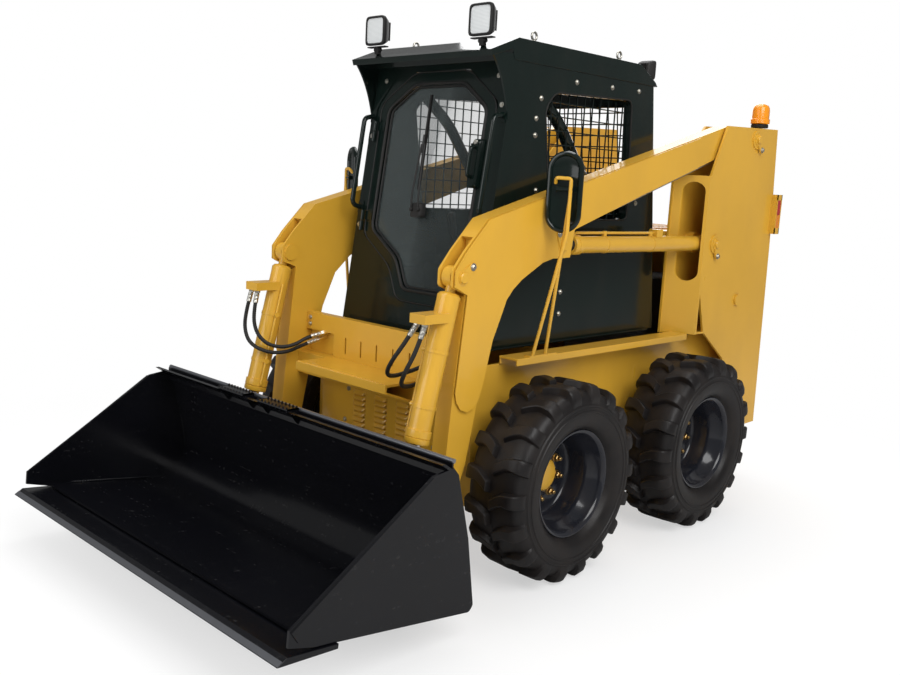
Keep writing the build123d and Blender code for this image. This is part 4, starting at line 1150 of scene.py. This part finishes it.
class LOADER_OT_cylinders(bpy.types.Operator):
    """Glands, steel pipes, clamps and port blocks on the cylinders"""

    bl_idname = "loader.cylinders"
    bl_label = "Cylinders"

    def execute(self, context):
        # Cylinder, its two ends, barrel radius and length, the pipe's place as (up or forwards, inwards)
        # and its start, and whether it has a block of its own
        rows = (("lift", LIFT_FOOT, LIFT_HEAD, 0.038, 1.150, (-0.052, 0.0), 0.430, True),
                ("tilt", TILT_HEAD, TILT_FOOT, 0.045, 0.655, (-0.012, -0.052), 0.150, False))
        for name, foot, head, radius, length, (across, inward), start, own_block in rows:
            foot3 = np.array([foot[0], ARM_Y, foot[1]])
            axis = np.array([head[0] - foot[0], 0, head[1] - foot[1]])
            axis /= np.linalg.norm(axis)
            side = np.cross(axis, (0, 1, 0))
            across = -across * (1 if side[0] + side[2] > 0 else -1)

            def along(s, off=1.0):
                """A point a distance along the axis, out at the pipe's place."""
                return foot3 + axis * s + side * across * off + np.array([0, inward * off, 0])

            gland = studs([foot3 + axis * (length - 0.056)], [axis],
                          [(radius - 0.002, 0), (radius + 0.0055, 0.002), (radius + 0.0055, 0.030),
                           (radius + 0.002, 0.032),
                           (radius + 0.0055, 0.034), (radius + 0.0055, 0.050), (radius + 0.002, 0.0555),
                           (0.026, 0.0555),
                           (0.0235, 0.054)], 48)
            cap = studs([foot3 + axis * 0.062], [axis],
                        [(0.022, 0), (radius - 0.008, 0.004), (radius + 0.0005, 0.014),
                                                         (radius + 0.0005, 0.030)], 40)
            pipe = tube(bent([along(start), along(length - 0.034), along(length - 0.022, 0.72)], 0.009),
                        0.0065, 14)
            shapes = [gland, cap, pipe]
            for s in (length * 0.45, length * 0.78):
                band = studs([foot3 + axis * (s - 0.008)], [axis],
                             [(radius - 0.002, 0), (radius + 0.002, 0.001), (radius + 0.002, 0.015),
                              (radius - 0.002, 0.016)], 40)
                shapes += [band, tube([along(s, 0.72), along(s, 1.16)], 0.011, 12)]
            if own_block:
                low, high = along(0.440), along(0.492)
                shapes.append(block((low[0], ARM_Y - 0.022, 1.404), (high[0], ARM_Y + 0.022, 1.442)))
            for sign, hand in ((1, "left"), (-1, "right")):
                fitted(f"{name}_barrel_fittings_{hand}", [mirrored(shape, sign) for shape in shapes],
                       f"{name}_barrel_{hand}", "yellow_paint", "yellow paint")
            seal = studs([foot3 + axis * (length - 0.004)], [axis],
                         [(0.0275, 0), (0.0275, 0.006), (0.0225, 0.008)], 32)
            for sign, hand in ((1, "left"), (-1, "right")):
                fitted(f"{name}_rod_wiper_{hand}", [mirrored(seal, sign)], f"{name}_barrel_{hand}",
                       "black_hose", "black rubber")
        return {"FINISHED"}


# Outer and inner edge of the plate on each arm's side, as (x, z) from behind the tower to the rounded end
PLATE_OUTER = ((-0.120, 1.890), (0.300, 1.777), (0.700, 1.670), (1.050, 1.576), (1.240, 1.525),
               (1.397, 1.482),
               (1.518, 1.358), (1.574, 1.288), (1.574, 1.228), (1.501, 1.193), (1.512, 1.085), (1.524, 0.970),
               (1.534, 0.860), (1.540, 0.815), (1.530, 0.775), (1.505, 0.742), (1.468, 0.728))
PLATE_INNER = ((-0.120, 1.745), (0.357, 1.600), (0.851, 1.444), (0.872, 1.326), (0.985, 1.324),
               (1.053, 1.308),
               (1.182, 1.242), (1.232, 1.205), (1.269, 1.164), (1.300, 1.092), (1.339, 1.006), (1.365, 0.900),
               (1.385, 0.820), (1.396, 0.790), (1.408, 0.762), (1.432, 0.738), (1.468, 0.728))


class LOADER_OT_pins(bpy.types.Operator):
    """Pin heads with their bolted keeper plates, and the plates on the arms' sides"""

    bl_idname = "loader.pins"
    bl_label = "Pins"

    def execute(self, context):
        edges = [[(x, 0.5845, z) for x, z in edge] for edge in (PLATE_OUTER, PLATE_INNER)]
        fitted("arm_side_plates", both([ruled(*edges, (0, 0.0040, 0))]), *YELLOW_BOOM)
        # Pin, the body it stands on, its face's y, and the way to the keeper's bolt as (x, z)
        rows = (("boom_pivot", BOOM_PIVOT, "chassis", 0.608, (-0.040, -0.052)),
                ("lift_foot", LIFT_FOOT, "chassis", 0.608, (-0.012, -0.062)),
                ("lift_head", LIFT_HEAD, "boom", 0.585, (0.034, 0.052)),
                ("tilt_head", TILT_HEAD, "boom", 0.585, (-0.050, 0.040)),
                ("bucket_hinge", BUCKET_HINGE, "bucket", 0.609, (0.030, 0.056)),
                ("tilt_foot", TILT_FOOT, "bucket", 0.601, (-0.010, -0.056)))
        for name, (x, z), body, y, (dx, dz) in rows:
            reach = math.hypot(dx, dz)
            ax, az = dx / reach, dz / reach
            angle = np.linspace(-math.pi / 2, math.pi / 2, 14)
            ends = [((0, 0.026), angle + math.pi), ((reach, 0.016), angle)]
            rim = []
            for (shift, radius), turn in ends:
                along, across = shift + radius * np.cos(turn), radius * np.sin(turn)
                rim.append(np.stack([x + along * ax - across * az, z + along * az + across * ax], -1))
            outline = np.concatenate(rim)
            keeper = [stacked([np.stack([outline[:, 0], np.full(len(outline), y + h), outline[:, 1]],
                                        -1) for h in (-0.001, 0.008)])]
            keeper.append(studs([(x, y, z)], [(0, 1, 0)],
                    [(0.033, -0.001), (0.033, 0.004), (0.030, 0.005), (0.021, 0.005), (0.021, 0.013),
                                                          (0.018, 0.016), (0, 0.016)], 32))
            fitted(f"{name}_keepers", both(keeper), body, "yellow_paint", "yellow paint")
            bolt = hex_bolts([(x + dx, y + 0.008, z + dz)], [(0, 1, 0)], 0.0105)
            fitted(f"{name}_keeper_bolts", both([bolt]), body, "zinc_steel", "zinc", crease=30)
        return {"FINISHED"}


# Bucket


# Spans in y of the two steps on the bucket's lip
STEP_SPANS = ((-0.420, -0.230), (-0.130, 0.080))


class LOADER_OT_bucket(bpy.types.Operator):
    """Bucket lip, its strip, steps, weld beads and side strips"""

    bl_idname = "loader.bucket"
    bl_label = "Bucket fittings"

    def execute(self, context):
        half = 0.945
        lip = tube([(1.8935, -half + 0.014, 0.690), (1.8935, half - 0.014, 0.690)], 0.009, 20)
        fitted("bucket_lip", [lip], "bucket", "black_bucket_paint", "worn lip")
        strip = ruled([(1.897, -half + 0.012, 0.686), (1.897, half - 0.012, 0.686)],
                      [(1.8965, -half + 0.012, 0.630), (1.8965, half - 0.012, 0.630)], (0.007, 0, 0))
        side = ruled([(2.572, 0.945, 0.290), (2.006, 0.945, 0.657)],
                     [(2.545, 0.945, 0.250), (1.990, 0.945, 0.611)], (0, 0.006, 0))
        fitted("bucket_strips", [strip, *both([side])], *BUCKET_STEEL)
        # Bare steel on the blade's bevel
        reach = half + 0.008
        worn = ruled([(2.6050, -reach, 0.2127), (2.6050, reach, 0.2127)],
                     [(2.6230, -reach, 0.2014), (2.6230, reach, 0.2014)],
                     (0.0006, 0, 0.0009))
        fitted("worn_edge", [worn], "bucket", "zinc_steel", "worn lip")
        places = [(1.904, y, 0.658) for y in np.arange(-0.845, 0.9, 0.130)]
        fitted("strip_bolts", [hex_bolts(places, [(1, 0, 0)], 0.007)], *BUCKET_STEEL, crease=30)
        steps = []
        for y0, y1 in STEP_SPANS:
            steps += self.step(y0, y1)
        fitted("bucket_steps", steps, *BUCKET_STEEL)
        fitted("bucket_welds", self.welds(half), *BUCKET_STEEL, crease=60)
        return {"FINISHED"}

    def step(self, y0, y1):
        """A step on the lip: a tread plate with a row of teeth on each edge, on two legs."""
        top = 0.700
        shapes = [block((1.903, y0, top - 0.006), (1.962, y1, top))]
        for y in (y0, y1 - 0.007):
            shapes.append(ruled([(1.903, y, top), (1.962, y, top)], [(1.903, y, 0.632), (1.912, y, 0.640)],
                                (0, 0.007, 0)))
        teeth = [(x, y, top) for x in (1.908, 1.957) for y in np.linspace(y0 + 0.008, y1 - 0.008, 9)]
        shapes.append(studs(teeth, [(0, 0, 1)], [(0.006, -0.001), (0.004, 0.007), (0, 0.008)], 4))
        return shapes

    def welds(self, half):
        """Weld beads: a tube whose radius ripples as a sine along its path."""
        paths = [[(2.392, -half + 0.012, 0.206), (2.392, half - 0.012, 0.206)]]
        for sign in (-1, 1):
            y = sign * (half - 0.012)
            paths.append([(1.862, y, 0.560), (1.832, y, 0.420), (1.812, y, 0.300)])
            paths.append([(2.380, y, 0.215), (2.000, y, 0.166)])
        beads = []
        for path in paths:
            path = np.asarray(path, float)
            run = np.concatenate([[0], np.cumsum(np.linalg.norm(np.diff(path, axis=0), axis=1))])
            even = np.linspace(0, run[-1], int(run[-1] / 0.003))
            line = np.stack([np.interp(even, run, path[:, i]) for i in range(3)], -1)
            beads.append(tube(line, 0.0045 + 0.0008 * np.sin(even * 2 * math.pi / 0.012), 8))
        return beads


# Louvres


def louvre(y, z, half, face, out, depth):
    """A pressed louvre: a blister that rises down its height as a power and falls off at its ends, with
    its mouth below closed back to the plate."""
    u = np.linspace(-1, 1, 17)[:, None]
    v = np.linspace(0, 1, 7)[None, :]
    lift = depth * v ** 0.6 * (1 - u ** 8) + 0.0003
    x = face + out * lift
    rows_y = np.broadcast_to(y + half * u, lift.shape)
    rows_z = np.broadcast_to(z + 0.023 - 0.017 * v, lift.shape)
    top = np.stack([x, rows_y, rows_z], -1)
    mouth = top[:, -1:].copy()
    mouth[..., 0] = face - out * 0.002
    back = top[:, :1].copy()
    back[..., 0] = face - out * 0.002
    ring = np.concatenate([back, top, mouth], 1)
    return capped(ring)


class LOADER_OT_louvres(bpy.types.Operator):
    """Pressed louvres of the belly plate, the rear door and the hood, and the rear door's handle"""

    bl_idname = "loader.louvres"
    bl_label = "Louvres"

    def execute(self, context):
        belly = [louvre(y, 0.476 + 0.025 * i, 0.043, 1.345, 1, 0.0125) for y in (-0.195, -0.050,
                                                                                 0.095) for i in range(7)]
        fitted("belly_louvres", belly, *YELLOW_CHASSIS, crease=50)
        rear = [louvre(y, 0.640 + 0.042 * i, 0.150, -0.992, -1, 0.015) for y in (-0.190,
                                                                                 0.190) for i in range(14)]
        fitted("rear_louvres", rear, *YELLOW_REAR_DOOR, crease=50)
        rim = [(-0.395, 0.500), (-0.395, 1.350), (0.395, 1.350), (0.395, 0.500)]
        path = np.stack([np.full(24, -0.992), *rounded(rim, 0.04).T], -1)
        handle = tube(bent([(-0.990, -0.36, 1.240), (-1.012, -0.36, 1.240), (-1.012, -0.36, 1.330),
                            (-0.990, -0.36, 1.330)],
                           0.010), 0.0075, 14)
        fitted("rear_door_trim", [hoop(path, 0.006, (1, 0, 0)), handle], *YELLOW_REAR_DOOR)
        ribs = [ruled([(x, -0.30, 1.425), (x, 0.30, 1.425)],
                      [(x + 0.022, -0.30, 1.425), (x + 0.022, 0.30, 1.425)], (0, 0, 0.006))
                for x in np.arange(-0.86, -0.22, 0.055)]
        fitted("hood_ribs", ribs, "hood", "yellow_paint", "yellow paint")
        teeth = [(1.632, y, 0.800) for y in np.linspace(-0.285, 0.285, 34)]
        fitted("step_teeth", [studs(teeth, [(0, 0, 1)], [(0.0055, -0.001), (0.0045, 0.004), (0, 0.0055)],
                                    8)], *YELLOW_BOOM)
        return {"FINISHED"}


# Bolts


class LOADER_OT_bolts(bpy.types.Operator):
    """Bolt heads on the cab, the belly plate and the cross member"""

    bl_idname = "loader.bolts"
    bl_label = "Bolts"

    def execute(self, context):
        radius = context.scene.loader_sizes.bolt
        # Cab side, as (x, z) on the outside of its wall
        side = [(0.690, 2.075), (0.420, 2.080), (0.200, 2.085), (0.930, 1.985), (0.955, 1.900),
                (0.955, 1.830),
                (0.925, 1.600), (0.700, 1.150), (0.700, 1.050), (0.160, 1.700), (0.150, 1.560)]
        shapes = both([hex_bolts([(x, 0.420, z) for x, z in side], [(0, 1, 0)], radius)])
        front = on_front([(0.345, 2.060), (-0.345, 2.060), (-0.393, 1.400), (-0.393, 1.810), (0.385, 1.440),
                          (0.385, 1.940)], 0.005)
        shapes.append(hex_bolts(front, [FRONT_NORMAL], radius * 0.9))
        shapes.append(hex_bolts([(1.345, -0.274, 0.645), (1.345, -0.295, 0.492), (1.345, 0.274, 0.645),
                                 (1.345, 0.295, 0.492)],
                                [(1, 0, 0)], radius))
        fitted("body_bolts", shapes, "chassis", "zinc_steel", "zinc", crease=30)
        member = [(1.430, y, z) for y in (-0.470, 0.470) for z in (0.930, 0.960)]
        fitted("member_bolts", [hex_bolts(member, [(1, 0, 0)], radius)], *BOOM_ZINC, crease=30)
        lines = [tube(bent([(0.560, y, 1.527), (0.357, y, 1.588), (-0.326, y, 1.795), (-0.560, y, 1.838)],
                           0.03), 0.0055, 10)
                 for y in (0.560, 0.542)]
        fitted("arm_pipes", both(lines), *BOOM_ZINC)
        return {"FINISHED"}


# Stage


class LOADER_OT_stage(bpy.types.Operator):
    """Floor, soft lamps, white surroundings and the camera"""

    bl_idname = "loader.stage"
    bl_label = "Stage"

    def execute(self, context):
        self.floor()
        self.surroundings(context.scene)
        # Lamp, where it stands, its size and power
        for name, where, size, power in (("key", (2.0, 5.2, 5.4), 4.5, 330.0),
                                         ("fill", (6.2, -0.6, 3.0), 4.0, 120.0),
                                         ("top", (-1.5, -1.0, 6.0), 4.0, 170.0),
                                         ("back", (-5.5, -3.0, 3.5), 4.0, 120.0)):
            self.lamp(name, where, size, power)
        self.camera(context.scene)
        context.scene.view_settings.view_transform = "Standard"
        return {"FINISHED"}

    def floor(self):
        """A wide plane that glows white to the camera, in part near the machine, so that its shadow stays,
        and wholly from the far distance on. It is darker in reflections."""
        reach = 40.0
        mesh = bpy.data.meshes.new("floor")
        mesh.from_pydata([(-reach, -reach, 0), (reach, -reach, 0), (reach, reach, 0), (-reach, reach, 0)],
                         [], [(0, 1, 2, 3)])
        floor = bpy.data.objects.new("floor", mesh)
        bpy.context.scene.collection.objects.link(floor)
        sheet = Sheet("floor")
        speck = sheet.noise(3.0, 3.0)
        mirrored_share = sheet.node("ShaderNodeLightPath", {}, {}, "Is Glossy Ray")
        tone = sheet.mix(mirrored_share, sheet.mix(speck, (0.95,) * 3, (0.93,) * 3),
                         (FLOOR_IN_REFLECTIONS,) * 3)
        matt = sheet.node("ShaderNodeBsdfDiffuse", {}, {"Color": tone})
        glow = sheet.node("ShaderNodeEmission", {}, {"Color": (1.0, 1.0, 1.0, 1.0), "Strength": 1.0})
        path = {name: sheet.node("ShaderNodeLightPath", {}, {}, name)
                for name in ("Is Camera Ray", "Is Transmission Ray")}
        seen = sheet.node("ShaderNodeMath", {"operation": "MAXIMUM"},
                          {0: path["Is Camera Ray"], 1: path["Is Transmission Ray"]})
        away = sheet.node("ShaderNodeVectorMath", {"operation": "LENGTH"}, {0: sheet.place}, "Value")
        # The white takes over between the two distances from the middle, in metres
        near, far = 1.2, 3.6
        share = ((away - near) / (far - near)).clamped() * 0.45 + 0.55
        share = (((away - far) / far).clamped() * 4.0 + share).clamped()
        mixed = sheet.node("ShaderNodeMixShader", {}, {0: share * seen, 1: matt, 2: glow})
        sheet.node("ShaderNodeOutputMaterial", {}, {"Surface": mixed})
        floor.data.materials.append(sheet.material)

    def surroundings(self, scene):
        """White to the camera and through glass, dimmer as light and dimmer still in reflections."""
        world = bpy.data.worlds.new("studio")
        scene.world = world
        world.use_nodes = True
        nodes, links = world.node_tree.nodes, world.node_tree.links
        nodes.clear()
        path = nodes.new("ShaderNodeLightPath")
        seen = nodes.new("ShaderNodeMath")
        seen.operation = "MAXIMUM"
        links.new(path.outputs["Is Camera Ray"], seen.inputs[0])
        glossy = nodes.new("ShaderNodeMath")
        glossy.operation = "MAXIMUM"
        links.new(path.outputs["Is Glossy Ray"], glossy.inputs[0])
        links.new(path.outputs["Is Transmission Ray"], glossy.inputs[1])
        links.new(glossy.outputs[0], seen.inputs[1])
        strength = nodes.new("ShaderNodeMapRange")
        strength.inputs["To Min"].default_value = SKY_AS_LIGHT
        strength.inputs["To Max"].default_value = 1.0
        links.new(seen.outputs[0], strength.inputs["Value"])
        light = nodes.new("ShaderNodeBackground")
        light.inputs["Color"].default_value = (1.0, 1.0, 1.0, 1.0)
        mirrored_share = nodes.new("ShaderNodeMapRange")
        mirrored_share.inputs["To Max"].default_value = SKY_IN_REFLECTIONS
        mirrored_share.inputs["To Min"].default_value = 1.0
        links.new(path.outputs["Is Glossy Ray"], mirrored_share.inputs["Value"])
        product = nodes.new("ShaderNodeMath")
        product.operation = "MULTIPLY"
        links.new(strength.outputs[0], product.inputs[0])
        links.new(mirrored_share.outputs[0], product.inputs[1])
        links.new(product.outputs[0], light.inputs["Strength"])
        end = nodes.new("ShaderNodeOutputWorld")
        links.new(light.outputs[0], end.inputs["Surface"])

    def lamp(self, name, where, size, power):
        """A square soft lamp aimed at the middle of the machine."""
        data = bpy.data.lights.new(name, "AREA")
        data.size = size
        data.energy = power
        lamp = bpy.data.objects.new(name, data)
        bpy.context.scene.collection.objects.link(lamp)
        lamp.location = where
        aim = np.array((0.2, 0.0, 0.9)) - np.array(where)
        down = math.atan2(math.hypot(aim[0], aim[1]), -aim[2])
        lamp.rotation_euler = (down, 0, math.atan2(aim[1], aim[0]) - math.pi / 2)

    def camera(self, scene):
        """The photograph's view: place, direction and lens found from the machine's own outline."""
        data = bpy.data.cameras.new("camera")
        data.sensor_width = 36.0
        data.lens = 37.86
        data.shift_x = 0.0167
        data.shift_y = 0.0108
        camera = bpy.data.objects.new("camera", data)
        scene.collection.objects.link(camera)
        back = -np.array((-0.7031, -0.6895, -0.1738))
        up = np.array((-0.0877, -0.1585, 0.9834))
        right = np.cross(up, back)
        matrix = np.eye(4)
        matrix[:3, 0] = right / np.linalg.norm(right)
        matrix[:3, 1] = up
        matrix[:3, 2] = back
        matrix[:3, 3] = (3.3447, 3.0295, 1.6221)
        camera.matrix_world = [list(row) for row in matrix.T]
        scene.camera = camera


class LOADER_PT_panel(bpy.types.Panel):
    """Lists the loader's steps, colours and sizes"""

    bl_idname = "LOADER_PT_panel"
    bl_label = "Loader"
    bl_space_type = "VIEW_3D"
    bl_region_type = "UI"
    bl_category = "Loader"

    def draw(self, context):
        for step in STEPS:
            self.layout.operator(step.bl_idname)
        for group in (context.scene.loader_colours, context.scene.loader_sizes):
            for key in group.__annotations__:
                self.layout.prop(group, key)


STEPS = (LOADER_OT_stage, LOADER_OT_dress, LOADER_OT_wheels, LOADER_OT_hoses, LOADER_OT_cab,
         LOADER_OT_lamps, LOADER_OT_mirrors, LOADER_OT_seat, LOADER_OT_cylinders, LOADER_OT_pins,
         LOADER_OT_bucket, LOADER_OT_louvres, LOADER_OT_bolts)
CLASSES = (LoaderColours, LoaderSizes, *STEPS, LOADER_PT_panel)


def register():
    """Registers the classes and hangs the settings on the scene."""
    for item in CLASSES:
        bpy.utils.register_class(item)
    bpy.types.Scene.loader_colours = bpy.props.PointerProperty(type=LoaderColours)
    bpy.types.Scene.loader_sizes = bpy.props.PointerProperty(type=LoaderSizes)


def unregister():
    """Takes the settings and the classes away again."""
    del bpy.types.Scene.loader_colours
    del bpy.types.Scene.loader_sizes
    for item in reversed(CLASSES):
        bpy.utils.unregister_class(item)


def main():
    """Runs every step in order."""
    register()
    for step in STEPS:
        group, name = step.bl_idname.split(".")
        getattr(getattr(bpy.ops, group), name)()
    bpy.context.view_layer.update()


if __name__ == "__main__":
    main()
